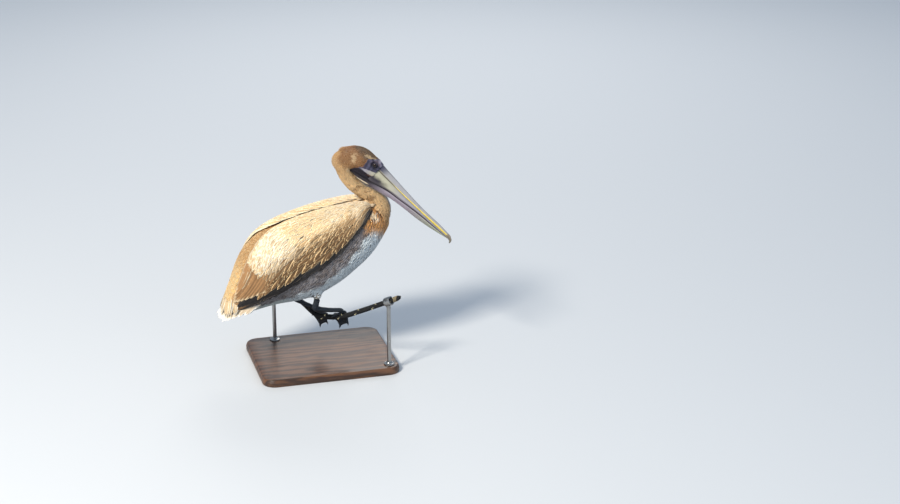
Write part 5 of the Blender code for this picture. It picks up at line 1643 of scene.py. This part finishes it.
def bill_material():
    mat, nt, bsdf = nodes_of("bill_horn")
    g = Net(nt)
    place = g.place()
    band, far = g.attr("band", "Fac"), g.attr("far", "Fac")
    blotch = g.noise(place, 70.0, 4.0, 0.65)
    fleck = g.noise(place, 420.0, 3.0, 0.6)
    long_grain = g.noise(g.combine(g.math("MULTIPLY", far, 0.02), g.math("MULTIPLY", band, 1.6), 0.0), 3.0, 4.0, 0.7)
    wob = g.math("MULTIPLY", g.math("SUBTRACT", blotch, 0.5), 0.5)
    side = g.mix(lin(166, 163, 142), lin(146, 143, 148), g.ramp(g.math("ADD", far, g.math("MULTIPLY", wob, 60.0)), 55.0, 130.0))
    rim_tone = g.mix(lin(36, 30, 42), lin(104, 96, 108), g.ramp(far, 55.0, 120.0))
    rim_tone = g.mix(rim_tone, lin(88, 74, 96), g.ramp(far, 120.0, 210.0, 0.0, 0.85))
    colour = g.mix(rim_tone, side, g.ramp(band, 3.9, 4.3))
    low = g.math("MULTIPLY", g.ramp(g.math("ADD", band, g.math("MULTIPLY", wob, 1.2)), 5.0, 4.4), g.ramp(far, 78.0, 30.0))
    colour = g.mix(colour, lin(34, 29, 40), low)
    top = g.mix(lin(62, 61, 78), lin(150, 149, 152), g.ramp(g.math("ADD", far, g.math("MULTIPLY", wob, 18.0)), 16.0, 46.0))
    top = g.mix(top, lin(128, 124, 126), g.ramp(band, 8.2, 9.0, 0.0, 0.7))
    colour = g.mix(colour, top, g.ramp(g.math("ADD", band, wob), 6.05, 6.5))
    # dark seam over the rim, and the groove's line
    seam = g.math("MULTIPLY", g.ramp(g.math("ABSOLUTE", g.math("SUBTRACT", band, 4.08)), 0.3, 0.06), 0.45)
    colour = g.mix(colour, lin(72, 66, 70), seam)
    grow = g.ramp(far, 60.0, 290.0, 0.18, 0.95)
    off = g.math("ABSOLUTE", g.math("SUBTRACT", band, 6.0))
    dark = g.math("MULTIPLY", g.ramp(g.math("ABSOLUTE", g.math("SUBTRACT", band, g.math("SUBTRACT", 6.0, grow))), 0.24, 0.05), 0.7)
    colour = g.mix(colour, lin(70, 64, 62), dark)
    yellow = g.math("MULTIPLY", g.ramp(g.math("SUBTRACT", off, grow), 0.06, -0.10), g.ramp(far, 50.0, 110.0))
    colour = g.mix(colour, g.mix(lin(206, 184, 78), lin(232, 208, 96), blotch), g.math("MULTIPLY", yellow, 0.92))
    base_line = g.math("MULTIPLY", g.ramp(off, 0.22, 0.05), g.ramp(far, 90.0, 60.0))
    colour = g.mix(colour, lin(84, 72, 60), base_line)
    nail = g.ramp(g.math("ADD", far, g.math("MULTIPLY", wob, 8.0)), 287.0, 293.0)
    colour = g.mix(colour, g.mix(lin(112, 100, 86), lin(150, 138, 118), long_grain), nail)
    under = g.ramp(band, 3.55, 2.9)
    colour = g.mix(colour, lin(58, 48, 50), under)
    shade = g.math("ADD", 0.70, g.math("ADD", g.math("MULTIPLY", blotch, 0.34), g.math("ADD", g.math("MULTIPLY", fleck, 0.12), g.math("MULTIPLY", long_grain, 0.18))))
    colour = g.mix(colour, g.combine(shade, shade, shade), 1.0, "MULTIPLY")
    g.put(bsdf.inputs["Base Color"], colour)
    g.put(bsdf.inputs["Roughness"], g.ramp(blotch, 0.25, 0.75, 0.34, 0.56))
    bsdf.inputs["Specular IOR Level"].default_value = 0.45
    height = g.math("ADD", g.math("MULTIPLY", long_grain, 1.0), g.math("MULTIPLY", fleck, 0.5))
    g.put(bsdf.inputs["Normal"], g.bump(height, 0.0006, 0.8))
    return mat


def pouch_material():
    mat, nt, bsdf = nodes_of("pouch_skin")
    g = Net(nt)
    place = g.place()
    band, far, deep = g.attr("band", "Fac"), g.attr("far", "Fac"), g.attr("deep", "Fac")
    blotch = g.noise(place, 60.0, 4.0, 0.65)
    fine = g.noise(place, 700.0, 3.0, 0.6)
    lines = g.noise(g.combine(g.math("MULTIPLY", far, 0.012), g.math("MULTIPLY", deep, 1.1), 0.0), 2.4, 4.0, 0.65)
    tone = g.mix(lin(24, 19, 30), lin(152, 144, 156), g.ramp(far, 12.0, 82.0))
    tone = g.mix(tone, lin(176, 178, 160), g.ramp(far, 120.0, 280.0))
    jaw = g.math("SUBTRACT", 5.5, g.math("MULTIPLY", far, 0.006))
    below = g.ramp(g.math("SUBTRACT", deep, jaw), -0.4, 1.2)
    pouch = g.mix(lin(38, 31, 44), lin(138, 128, 140), g.ramp(far, 0.0, 80.0))
    pouch = g.mix(pouch, lin(134, 138, 120), g.ramp(far, 130.0, 260.0))
    tone = g.mix(tone, pouch, below)
    tone = g.mix(tone, lin(206, 192, 168), g.math("MULTIPLY", g.math("MULTIPLY", g.ramp(deep, 18.0, 15.0), g.ramp(deep, 9.5, 11.5)), g.ramp(far, 20.0, 6.0)))
    tone = g.mix(tone, lin(20, 16, 22), g.ramp(deep, 2.4, 0.9))
    shade = g.math("ADD", 0.66, g.math("ADD", g.math("MULTIPLY", blotch, 0.32), g.math("MULTIPLY", lines, 0.34)))
    tone = g.mix(tone, g.combine(shade, shade, shade), 1.0, "MULTIPLY")
    g.put(bsdf.inputs["Base Color"], tone)
    g.put(bsdf.inputs["Roughness"], g.ramp(blotch, 0.25, 0.75, 0.42, 0.64))
    bsdf.inputs["Specular IOR Level"].default_value = 0.4
    g.put(bsdf.inputs["Normal"], g.bump(g.math("ADD", g.math("MULTIPLY", lines, 1.2), g.math("MULTIPLY", fine, 0.35)), 0.0007, 0.9))
    return mat


def build_eyes():
    mat, nt, bsdf = nodes_of("eye")
    g = Net(nt)
    off = g.attr("off", "Fac")
    ray = g.attr("ray", "Vector")
    strands = g.noise(ray, 9.0, 3.0, 0.7)
    iris = g.mix(lin(24, 15, 11), lin(62, 40, 24), g.math("MULTIPLY", strands, g.ramp(off, 2.2, 4.0)))
    iris = g.mix(iris, lin(24, 16, 12), g.ramp(off, 4.2, 4.9))
    colour = g.mix(lin(6, 5, 6), iris, g.ramp(off, 2.25, 2.6))
    colour = g.mix(colour, lin(52, 42, 40), g.ramp(off, 4.9, 5.4))
    g.put(bsdf.inputs["Base Color"], colour)
    bsdf.inputs["Roughness"].default_value = 0.16
    bsdf.inputs["Specular IOR Level"].default_value = 0.08
    bsdf.inputs["Coat Weight"].default_value = 1.0
    bsdf.inputs["Coat Roughness"].default_value = 0.03
    bsdf.inputs["Coat IOR"].default_value = 1.36
    for name, sign in (("left", 1), ("right", -1)):
        lat = np.linspace(0.06, pi - 0.06, 40)
        lon = np.linspace(0, 2 * pi, 64, endpoint=False)
        la, lo = np.meshgrid(lat, lon, indexing="ij")
        r = EYE_RADIUS * (1 + 0.055 * smoothstep(0.75, 0.2, la))
        du, dv, dw = r * np.sin(la) * np.cos(lo), r * np.sin(la) * np.sin(lo), r * np.cos(la)
        ring = head_point(EYE_AT[0] + du, EYE_AT[1] + dv, sign * (EYE_AT[2] + dw))
        q, caps = closed_rings(ring)
        me = raw_mesh(f"eyeball_{name}", ring.reshape(-1, 3), quads=q, ngons=caps)
        far = np.where(dw > 0, np.hypot(du, dv), 9.0)
        give(me, "off", far.ravel(), "FLOAT")
        give(me, "ray", np.stack([np.cos(lo) * 1.6, np.sin(lo) * 1.6, 0.12 * far], -1).reshape(-1, 3), "FLOAT_VECTOR")
        ob = add_object(f"eyeball_{name}", me, mat)
        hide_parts(f"eye_{name}")


build_bill()
build_gape()
build_eyes()


# ---------------------------------------------------------------- rope and feet
HX, HY = ROPE_HEADING
REACH, DRAPE_LIMIT = 14.2, radians(80.0)


def rope_point(l, across, up):
    l, across, up = np.broadcast_arrays(np.asarray(l, float), across, up)
    return PERCH + np.stack([HX * l - HY * across, HY * l + HX * across, curve(ROPE, 1, l) + up], -1) * MM


def draped(l, across, over):
    angle = np.clip(np.asarray(across, float) / REACH, -DRAPE_LIMIT, DRAPE_LIMIT)
    rest = across - angle * REACH
    a = REACH * np.sin(angle) + rest * np.cos(angle) + over * np.sin(angle)
    z = REACH * np.cos(angle) - rest * np.sin(angle) + over * np.cos(angle)
    return rope_point(l, a, z)


def build_rope():
    mat, nt, bsdf = nodes_of("rope")
    g = Net(nt)
    run = g.attr("run")
    x, y, z = g.xyz(run)
    fibre = g.noise(g.combine(g.math("MULTIPLY", x, 0.35), g.math("MULTIPLY", y, 3.0), z), 2.2, 3.0, 0.7)
    grime = g.noise(g.place(), 60.0, 4.0, 0.6)
    colour = g.attr("tone", "Color")
    shade = g.math("ADD", 0.45, g.math("ADD", g.math("MULTIPLY", fibre, 0.75), g.math("MULTIPLY", grime, 0.45)))
    colour = g.mix(colour, g.combine(shade, shade, shade), 1.0, "MULTIPLY")
    colour = g.mix(colour, lin(58, 52, 44), g.ramp(grime, 0.55, 0.75, 0.0, 0.3))
    g.put(bsdf.inputs["Base Color"], colour)
    g.put(bsdf.inputs["Roughness"], g.ramp(grime, 0.3, 0.7, 0.6, 0.88))
    bsdf.inputs["Specular IOR Level"].default_value = 0.25
    g.put(bsdf.inputs["Normal"], g.bump(fibre, 0.0005, 0.9))
    l = np.linspace(-ROPE_END + 0.5, ROPE_END - 0.5, 400)
    pitch = 60.0
    theta = 2 * pi * l / pitch
    points, quads, caps, tones, runs, base = [], [], [], [], [], 0
    around = np.linspace(0, 2 * pi, 6, endpoint=False)
    taper = 1 - 0.42 * np.maximum(smoothstep(ROPE_END - 9, ROPE_END, np.abs(l)), 0)
    rng = np.random.default_rng(501)

    def tube(radius, phi, half_w, half_h, tone, which):
        nonlocal base
        across, up = radius * np.sin(phi), radius * np.cos(phi)
        centre = rope_point(l, across, up)
        along = unit(np.gradient(centre, axis=0))
        out = unit(centre - rope_point(l, 0.0, 0.0)) if np.max(radius) > 0.1 else np.tile((0.0, 0.0, 1.0), (len(l), 1))
        side = unit(np.cross(along, out))
        ring = centre[:, None] + (side[:, None] * (half_w * np.cos(around))[None, :, None] + out[:, None] * (half_h * np.sin(around))[None, :, None]) * MM
        q, c = closed_rings(ring)
        points.append(ring.reshape(-1, 3))
        quads.append(q + base)
        caps.append(c + base)
        n = ring.shape[0] * ring.shape[1]
        tones.append(np.repeat(tone, ring.shape[1], 0))
        runs.append(np.stack([np.repeat(l, 6), np.tile(np.arange(6) * 1.0, len(l)), np.full(n, which * 7.3)], -1))
        base += n

    dark = lin(27, 28, 30)
    for d in (1, -1):
        for i in range(8):
            phi = 2 * pi * i / 8 + d * theta
            radius = (7.05 + 0.62 * d * np.cos(8 * theta)) * taper
            tone = np.tile(dark * (1 + 0.16 * rng.normal()), (len(l), 1))
            if (d, i) in ((1, 1), (-1, 5)):
                patch = smoothstep(0.72, 0.86, np.sin(2 * pi * l / 30.0 + i))[:, None]
                tone = tone * (1 - patch) + lin(226, 216, 176) * patch
            tube(radius, phi, 2.15, 1.12, tone, i + 9 * d)
    tube(np.zeros(len(l)), theta * 0, 5.6 * 0.98, 5.6 * 0.98, np.tile(dark * 0.6, (len(l), 1)), 40)
    me = raw_mesh("rope_braid", np.concatenate(points), quads=np.concatenate(quads), ngons=np.concatenate(caps))
    give(me, "tone", np.concatenate(tones), "FLOAT_COLOR")
    give(me, "run", np.concatenate(runs), "FLOAT_VECTOR")
    ob = add_object("rope_braid", me, mat)
    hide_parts("perch_rope")
    # twine whipping near each end
    points, quads, caps, base = [], [], [], 0
    for end in (-1, 1):
        turns = np.linspace(0, 2 * pi * 9, 260)
        ll = end * (ROPE_END - 20.0 + turns / (2 * pi) * 1.15)
        mid = rope_point(ll, 8.55 * np.sin(turns), 8.55 * np.cos(turns))
        along = unit(np.gradient(mid, axis=0))
        out = unit(mid - rope_point(ll, 0.0, 0.0))
        side = unit(np.cross(along, out))
        ring = mid[:, None] + (side[:, None] * np.cos(around)[None, :, None] + out[:, None] * np.sin(around)[None, :, None]) * 0.62 * MM
        q, c = closed_rings(ring)
        points.append(ring.reshape(-1, 3))
        quads.append(q + base)
        caps.append(c + base)
        base += len(ring) * 6
    n = base
    me = raw_mesh("rope_whipping", np.concatenate(points), quads=np.concatenate(quads), ngons=np.concatenate(caps))
    give(me, "tone", np.tile(lin(128, 116, 92), (n, 1)), "FLOAT_COLOR")
    give(me, "run", np.stack([np.arange(n) * 0.2, np.arange(n) % 6 * 1.0, np.zeros(n)], -1), "FLOAT_VECTOR")
    add_object("rope_whipping", me, mat)


def tube_tris(centre, radii, k=12):
    """Closed round tube as triangles: centre (m, 3), radii (m,) in metres."""
    along = unit(np.gradient(centre, axis=0))
    ref = np.array((0.31, 0.52, 0.8))
    a = unit(np.cross(along, ref))
    b = np.cross(along, a)
    th = np.linspace(0, 2 * pi, k, endpoint=False)
    ring = centre[:, None] + (a[:, None] * np.cos(th)[None, :, None] + b[:, None] * np.sin(th)[None, :, None]) * radii[:, None, None]
    q, caps = closed_rings(ring)
    tris = np.concatenate([q[:, [0, 1, 2]], q[:, [0, 2, 3]]] + [np.stack([np.full(k - 2, c[0]), c[1:-1], c[2:]], -1) for c in caps])
    return ring.reshape(-1, 3), tris


def build_limbs():
    mat, nt, bsdf = nodes_of("leg_skin")
    g = Net(nt)
    place = g.place()
    scales = g.voronoi(place, 330.0, "DISTANCE_TO_EDGE")
    tint = g.voronoi(place, 330.0, "F1", "Color")
    grit = g.noise(place, 900.0, 3.0, 0.6)
    broad = g.noise(place, 45.0, 4.0, 0.6)
    web = g.attr("web", "Fac")
    base = g.mix(lin(9, 21, 32), lin(24, 39, 54), broad)
    base = g.mix(base, lin(24, 28, 33), g.math("MULTIPLY", web, 0.8))
    r, _, _ = g.xyz(tint)
    base = g.mix(base, g.combine(g.math("ADD", 0.72, g.math("MULTIPLY", r, 0.5)), g.math("ADD", 0.72, g.math("MULTIPLY", r, 0.5)), g.math("ADD", 0.72, g.math("MULTIPLY", r, 0.5))), g.math("SUBTRACT", 1.0, g.math("MULTIPLY", web, 0.6)), "MULTIPLY")
    crack = g.ramp(scales, 0.0, 0.12)
    base = g.mix(lin(7, 10, 14), base, g.math("MAXIMUM", crack, g.math("MULTIPLY", web, 0.7)))
    g.put(bsdf.inputs["Base Color"], base)
    g.put(bsdf.inputs["Roughness"], g.ramp(broad, 0.3, 0.7, 0.38, 0.62))
    bsdf.inputs["Specular IOR Level"].default_value = 0.4
    height = g.math("ADD", g.math("MULTIPLY", g.ramp(scales, 0.0, 0.2), g.math("SUBTRACT", 1.0, g.math("MULTIPLY", web, 0.8))), g.math("MULTIPLY", grit, 0.25))
    g.put(bsdf.inputs["Normal"], g.bump(height, 0.0005, 1.0))
    claw_mat, nt, bsdf = nodes_of("claw_horn")
    h = Net(nt)
    grain = h.noise(h.place(), 500.0, 3.0, 0.6)
    h.put(bsdf.inputs["Base Color"], h.mix(lin(26, 26, 28), lin(70, 64, 60), grain))
    h.put(bsdf.inputs["Roughness"], h.ramp(grain, 0.2, 0.8, 0.25, 0.45))
    h.put(bsdf.inputs["Normal"], h.bump(grain, 0.0002, 0.6))
    for side, m, path, name in ((1, 1, LEG_LEFT, "left"), (-1, -1, LEG_RIGHT, "right")):
        rows = [tuple([i, *row, rad]) for i, (row, rad) in enumerate(zip(path, LEG_RADII))]
        k = np.linspace(0, len(rows) - 1, 70)
        centre = PERCH + np.stack([curve(rows, j, k) for j in (1, 2, 3)], -1) * MM
        radii = curve(rows, 4, k) * MM * (1 + 0.02 * np.sin(k * 9))
        radii = np.concatenate([radii, radii[-1:] * 0.96])
        centre = np.concatenate([centre, centre[-1:] + (centre[-1:] - centre[-2:-1]) * 1.2])
        points, tris, base, claws = [], [], 0, []
        p, t = tube_tris(centre, radii, 20)
        points.append(p)
        tris.append(t)
        base += len(p)
        at = -STANCE if side > 0 else STANCE
        back = np.array((-HY, HX)) * -FOOT_BACK
        edges = []
        for heading, length, radius in TOES:
            a = radians(FOOT_HEADING[side] + heading * m)
            r = np.linspace(0, length - 4.5, 44)
            q = r[:, None] * np.array((cos(a), sin(a))) + back
            l, across = at + q @ np.array((HX, HY)), q @ np.array((-HY, HX))
            f = r / length
            thick = radius * (1 - 0.42 * f) * (1 + 0.09 * np.exp(-(((f - 0.36) / 0.05) ** 2)) + 0.10 * np.exp(-(((f - 0.62) / 0.045) ** 2)) + 0.08 * np.exp(-(((f - 0.84) / 0.04) ** 2)))
            low = -(radius - thick) * 0.9
            line = draped(l, across, low)
            p, t = tube_tris(line, thick * MM, 16)
            points.append(p)
            tris.append(t + base)
            base += len(p)
            edges.append((a, length, radius))
            # claw
            r = np.linspace(length - 8.5, length + 1.0, 14)
            q = r[:, None] * np.array((cos(a), sin(a))) + back
            l, across = at + q @ np.array((HX, HY)), q @ np.array((-HY, HX))
            g2 = np.linspace(0, 1, 14)
            line = draped(l, across, -(radius * 0.42) * 0.9 + 1.1 * np.sin(g2 * pi) - 2.2 * g2**2)
            p, t = tube_tris(line, (2.15 * (1 - g2) ** 0.7 + 0.16) * MM, 14)
            claws.append((p, t))
        # webs between neighbouring toes, notched at the free edge
        webs = []
        for (a0, l0, _), (a1, l1, _) in zip(edges[:-1], edges[1:]):
            nu, nv = 26, 30
            x = np.linspace(0, 1, nu)[:, None]
            y = np.linspace(0.05, 1, nv)[None]
            a = a0 + (a1 - a0) * x
            reach = (l0 - 7) * (1 - x) + (l1 - 7) * x
            reach = reach * (1 - 0.20 * np.sin(pi * x) ** 0.9 * smoothstep(0, 1, abs(a1 - a0)))
            r = reach * y
            qx, qy = r * np.cos(a) + back[0], r * np.sin(a) + back[1]
            l, across = at + qx * HX + qy * HY, -qx * HY + qy * HX
            sag = -1.9 - 0.35 * np.sin(pi * x) + 0.3 * np.sin(r * 0.45 + 3 * x) * np.sin(pi * x) * y
            top = draped(l, across, sag + 0.85)
            under = draped(l, across, sag - 0.85)
            grid = np.concatenate([top.reshape(-1, 3), under.reshape(-1, 3)])
            i, j = np.meshgrid(np.arange(nu - 1), np.arange(nv - 1), indexing="ij")
            q = np.stack([i * nv + j, i * nv + j + 1, (i + 1) * nv + j + 1, (i + 1) * nv + j], -1).reshape(-1, 4)
            half = nu * nv
            rim = [i2 * nv for i2 in range(nu)] + [(nu - 1) * nv + j2 for j2 in range(1, nv)] + [i2 * nv + nv - 1 for i2 in range(nu - 2, -1, -1)] + [j2 for j2 in range(nv - 2, 0, -1)]
            rim = np.array(rim)
            nxt = np.roll(rim, -1)
            walls = np.stack([rim, nxt, nxt + half, rim + half], -1)
            faces = np.concatenate([q, q[:, ::-1] + half, walls])
            tt = np.concatenate([faces[:, [0, 1, 2]], faces[:, [0, 2, 3]]])
            if np.einsum("ij,ij->i", grid[tt[:, 0]], np.cross(grid[tt[:, 1]], grid[tt[:, 2]])).sum() < 0:
                tt = tt[:, ::-1]
            points.append(grid)
            tris.append(tt + base)
            base += len(grid)
            webs.append((top + under).reshape(-1, 3) / 2)
        v, q = remesh(np.concatenate(points), np.concatenate(tris), 0.00105)
        e = quad_edges(q)
        v = relax(v, e, 2, 0.4)
        web_points = np.concatenate(webs)
        toes = [draped(*(lambda w: (at + w @ np.array((HX, HY)), w @ np.array((-HY, HX)), 0.0))(np.linspace(0, ln, 60)[:, None] * np.array((cos(aa), sin(aa))) + back)) for aa, ln, _ in edges]
        toe_line = np.concatenate(toes + [centre])
        near = np.array([np.sqrt(((toe_line - p) ** 2).sum(1).min()) for p in v]) / MM
        web = smoothstep(5.0, 7.5, near) * (v[:, 2] < centre[-1, 2] + 0.012)
        me = raw_mesh(f"limb_{name}", v, quads=q)
        give(me, "web", web, "FLOAT")
        ob = add_object(f"limb_{name}", me, mat)
        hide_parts(f"leg_{name}", f"foot_{name}")
        base, pts, ts = 0, [], []
        for p, t in claws:
            pts.append(p)
            ts.append(t + base)
            base += len(p)
        ob = add_object(f"claws_{name}", raw_mesh(f"claws_{name}", np.concatenate(pts), tris=np.concatenate(ts)), claw_mat)


build_rope()
build_limbs()


# ---------------------------------------------------------------- stand
def lathe(name, centre, axis, profile_points, mat, k=64, node=None):
    """Turned solid: profile (distance along the axis, radius) in mm, closed loop if the first and last differ from the axis."""
    axis = unit(np.asarray(axis, float))
    a = unit(np.cross(axis, (0.0, 1.0, 0.0) if abs(axis[1]) < 0.9 else (1.0, 0.0, 0.0)))
    b = np.cross(axis, a)
    th = np.linspace(0, 2 * pi, k, endpoint=False)
    rings = np.array([centre + (axis * x + a * (r * np.cos(t)) + b * (r * np.sin(t))) * MM for x, r in profile_points for t in th]).reshape(len(profile_points), k, 3)
    m = len(profile_points)
    hollow = profile_points[0] == profile_points[-1]
    if hollow:
        rings = rings[:-1]
        m -= 1
        i, j = np.meshgrid(np.arange(m), np.arange(k), indexing="ij")
        jn, inx = (j + 1) % k, (i + 1) % m
        q = np.stack([i * k + j, i * k + jn, inx * k + jn, inx * k + j], -1).reshape(-1, 4)
        p = rings.reshape(-1, 3)
        tri = np.concatenate([q[:, [0, 1, 2]], q[:, [0, 2, 3]]])
        if np.einsum("ij,ij->i", p[tri[:, 0]], np.cross(p[tri[:, 1]], p[tri[:, 2]])).sum() < 0:
            q = q[:, ::-1]
        me = raw_mesh(name, p, quads=q)
    else:
        q, caps = closed_rings(rings)
        me = raw_mesh(name, rings.reshape(-1, 3), quads=q, ngons=caps)
    me.set_sharp_from_angle(angle=radians(35))
    ob = add_object(name, me, mat)
    if node:
        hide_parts(node)
    return ob


def build_stand():
    wood, nt, bsdf = nodes_of("base_wood")
    g = Net(nt)
    place = g.place()
    x, y, z = g.xyz(place)
    warp = g.noise(g.combine(g.math("MULTIPLY", x, 1.2), g.math("MULTIPLY", y, 7.0), g.math("MULTIPLY", z, 7.0)), 2.0, 4.0, 0.6)
    ring = g.math("SINE", g.math("MULTIPLY", g.math("ADD", g.math("MULTIPLY", y, 60.0), g.math("MULTIPLY", warp, 9.0)), 3.2))
    pores = g.noise(g.combine(g.math("MULTIPLY", x, 18.0), g.math("MULTIPLY", y, 700.0), g.math("MULTIPLY", z, 500.0)), 1.0, 3.0, 0.7)
    colour = g.mix(lin(58, 38, 26), lin(104, 70, 46), g.ramp(ring, -1.0, 1.0))
    colour = g.mix(colour, lin(34, 22, 16), g.ramp(pores, 0.55, 0.7, 0.0, 0.6))
    colour = g.mix(colour, lin(120, 84, 56), g.math("MULTIPLY", g.ramp(warp, 0.5, 0.7), 0.3))
    g.put(bsdf.inputs["Base Color"], colour)
    g.put(bsdf.inputs["Roughness"], g.ramp(pores, 0.3, 0.7, 0.32, 0.5))
    g.put(bsdf.inputs["Normal"], g.bump(pores, 0.0002, 0.5))
    steel, nt, bsdf = nodes_of("brushed_steel")
    g = Net(nt)
    x, y, z = g.xyz(g.place())
    brush = g.noise(g.combine(g.math("MULTIPLY", x, 60.0), g.math("MULTIPLY", y, 60.0), g.math("MULTIPLY", z, 2600.0)), 1.0, 3.0, 0.7)
    cloud = g.noise(g.place(), 40.0, 3.0, 0.6)
    g.put(bsdf.inputs["Base Color"], g.mix(lin(120, 120, 120), lin(186, 186, 184), g.math("ADD", g.math("MULTIPLY", brush, 0.5), g.math("MULTIPLY", cloud, 0.5))))
    bsdf.inputs["Metallic"].default_value = 1.0
    g.put(bsdf.inputs["Roughness"], g.ramp(brush, 0.2, 0.8, 0.22, 0.42))
    g.put(bsdf.inputs["Normal"], g.bump(brush, 0.00008, 0.4))
    # the base: rounded plate with a moulded edge
    lo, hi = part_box("stand_base")
    lo, hi = np.array(lo), np.array(hi)
    centre = (lo + hi) / 2
    half = (hi - lo) / 2
    tall = hi[2] - lo[2]
    corner = 0.040
    rings = []
    profile_points = [(0.0, 0.0012), (0.0008, 0.0003), (0.0018, 0.0), (0.0140, 0.0), (0.0146, 0.0004), (0.0150, 0.0014), (0.0158, 0.0018), (0.0192, 0.0022), (0.0206, 0.0030), (0.0215, 0.0044), (0.0220, 0.0064), (0.0220, 0.03), (0.0220, 0.10)]
    for z, inset in profile_points:
        loop = []
        c = max(corner - inset, 0.004)
        for qx, qy, start in ((1, 1, 0), (-1, 1, pi / 2), (-1, -1, pi), (1, -1, 1.5 * pi)):
            for f in np.linspace(0, pi / 2, 12):
                loop.append((centre[0] + qx * (half[0] - inset - c) + c * cos(start + f), centre[1] + qy * (half[1] - inset - c) + c * sin(start + f), lo[2] + z * tall / 0.022))
        rings.append(loop)
    rings = np.array(rings)
    q, caps = closed_rings(rings)
    me = raw_mesh("base_plate", rings.reshape(-1, 3), quads=q, ngons=caps)
    me.set_sharp_from_angle(angle=radians(50))
    ob = add_object("base_plate", me, wood)
    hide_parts("stand_base")
    for name, l in (("front", ROD_AT), ("rear", -ROD_AT)):
        mid = rope_point(l, 0.0, 0.0)
        ahead = unit(rope_point(l + 4, 0.0, 0.0) - rope_point(l - 4, 0.0, 0.0))
        r0, r1 = 9.5, CLAMP_RADIUS
        ring = [(-11, r0 + 0.6), (-10.4, r0), (10.4, r0), (11, r0 + 0.6), (11, r1 - 1.2), (10.2, r1 - 0.2), (9.4, r1), (3.2, r1), (2.8, r1 - 0.7), (-2.8, r1 - 0.7), (-3.2, r1), (-9.4, r1), (-10.2, r1 - 0.2), (-11, r1 - 1.2), (-11, r0 + 0.6)]
        lathe(f"clamp_{name}", mid, ahead, ring, steel, 72, node=f"stand_clamp_{name}")
        # the rod, with three small screws in its foot
        down = np.array((mid[0], mid[1], 0.0))
        top = (mid[2] - 0.0125) / MM - 22
        base = np.array((mid[0], mid[1], 0.022))
        stem = [(-0.5, 15.0), (0.0, 15.9), (0.6, 16.0), (3.4, 16.0), (4.1, 15.7), (4.5, 15.0), (5.2, 11.5), (6.0, 9.6), (7.6, 8.6), (8.6, 7.8), (9.0, 6.6), (9.4, 6.0), (top * 0.5, 6.0), (top - 9, 6.0), (top - 8.4, 6.7), (top - 5.6, 6.7), (top - 5.0, 6.0), (top, 6.0)]
        lathe(f"rod_{name}", base, (0, 0, 1), stem, steel, 56, node=f"stand_rod_{name}")
        for n_screw, turn in enumerate((0.4, 0.4 + pi * 2 / 3, 0.4 + pi * 4 / 3)):
            at = base + np.array((cos(turn), sin(turn), 0.0)) * 12.6 * MM + np.array((0, 0, 4.2 * MM))
            lathe(f"screw_{name}_{n_screw}", at, (0, 0, 1), [(0.0, 2.0), (1.1, 2.0), (1.5, 1.7), (1.55, 0.95), (0.9, 0.9), (0.85, 0.1)], steel, 24)


build_stand()


# ---------------------------------------------------------------- floor and light
def build_studio():
    floor_mat, nt, bsdf = nodes_of("floor")
    bsdf.inputs["Base Color"].default_value = (0.62, 0.64, 0.66, 1.0)
    bsdf.inputs["Roughness"].default_value = 0.9
    me = raw_mesh("floor", np.array([(-40, -40, 0), (40, -40, 0), (40, 40, 0), (-40, 40, 0.0)]), quads=np.array([[0, 1, 2, 3]]), smooth=False)
    floor = add_object("floor", me, floor_mat, body=None)
    floor.location.z = -0.0002
    world = bpy.data.worlds.new("studio")
    world.use_nodes = True
    back = world.node_tree.nodes["Background"]
    back.inputs[0].default_value = (0.62, 0.78, 1.0, 1.0)
    back.inputs[1].default_value = 0.52
    scene.world = world
    for name, where, power, size, colour in (
        ("key", (-4.2, -3.4, 5.1), 640.0, 1.5, (1.0, 0.93, 0.82)),
        ("fill", (3.2, -5.2, 2.0), 34.0, 3.5, (0.62, 0.80, 1.0)),
        ("rim", (1.6, 4.4, 3.4), 80.0, 2.4, (1.0, 0.96, 0.9)),
    ):
        data = bpy.data.lights.new(name, "AREA")
        data.energy, data.size, data.color = power, size, colour
        ob = bpy.data.objects.new(name, data)
        scene.collection.objects.link(ob)
        ob.location = where
        ob.rotation_mode = "QUATERNION"
        ob.rotation_quaternion = (Vector((0.0, 0.0, 0.36)) - Vector(where)).to_track_quat("-Z", "Y")
    scene.view_settings.view_transform = "Standard"


build_studio()
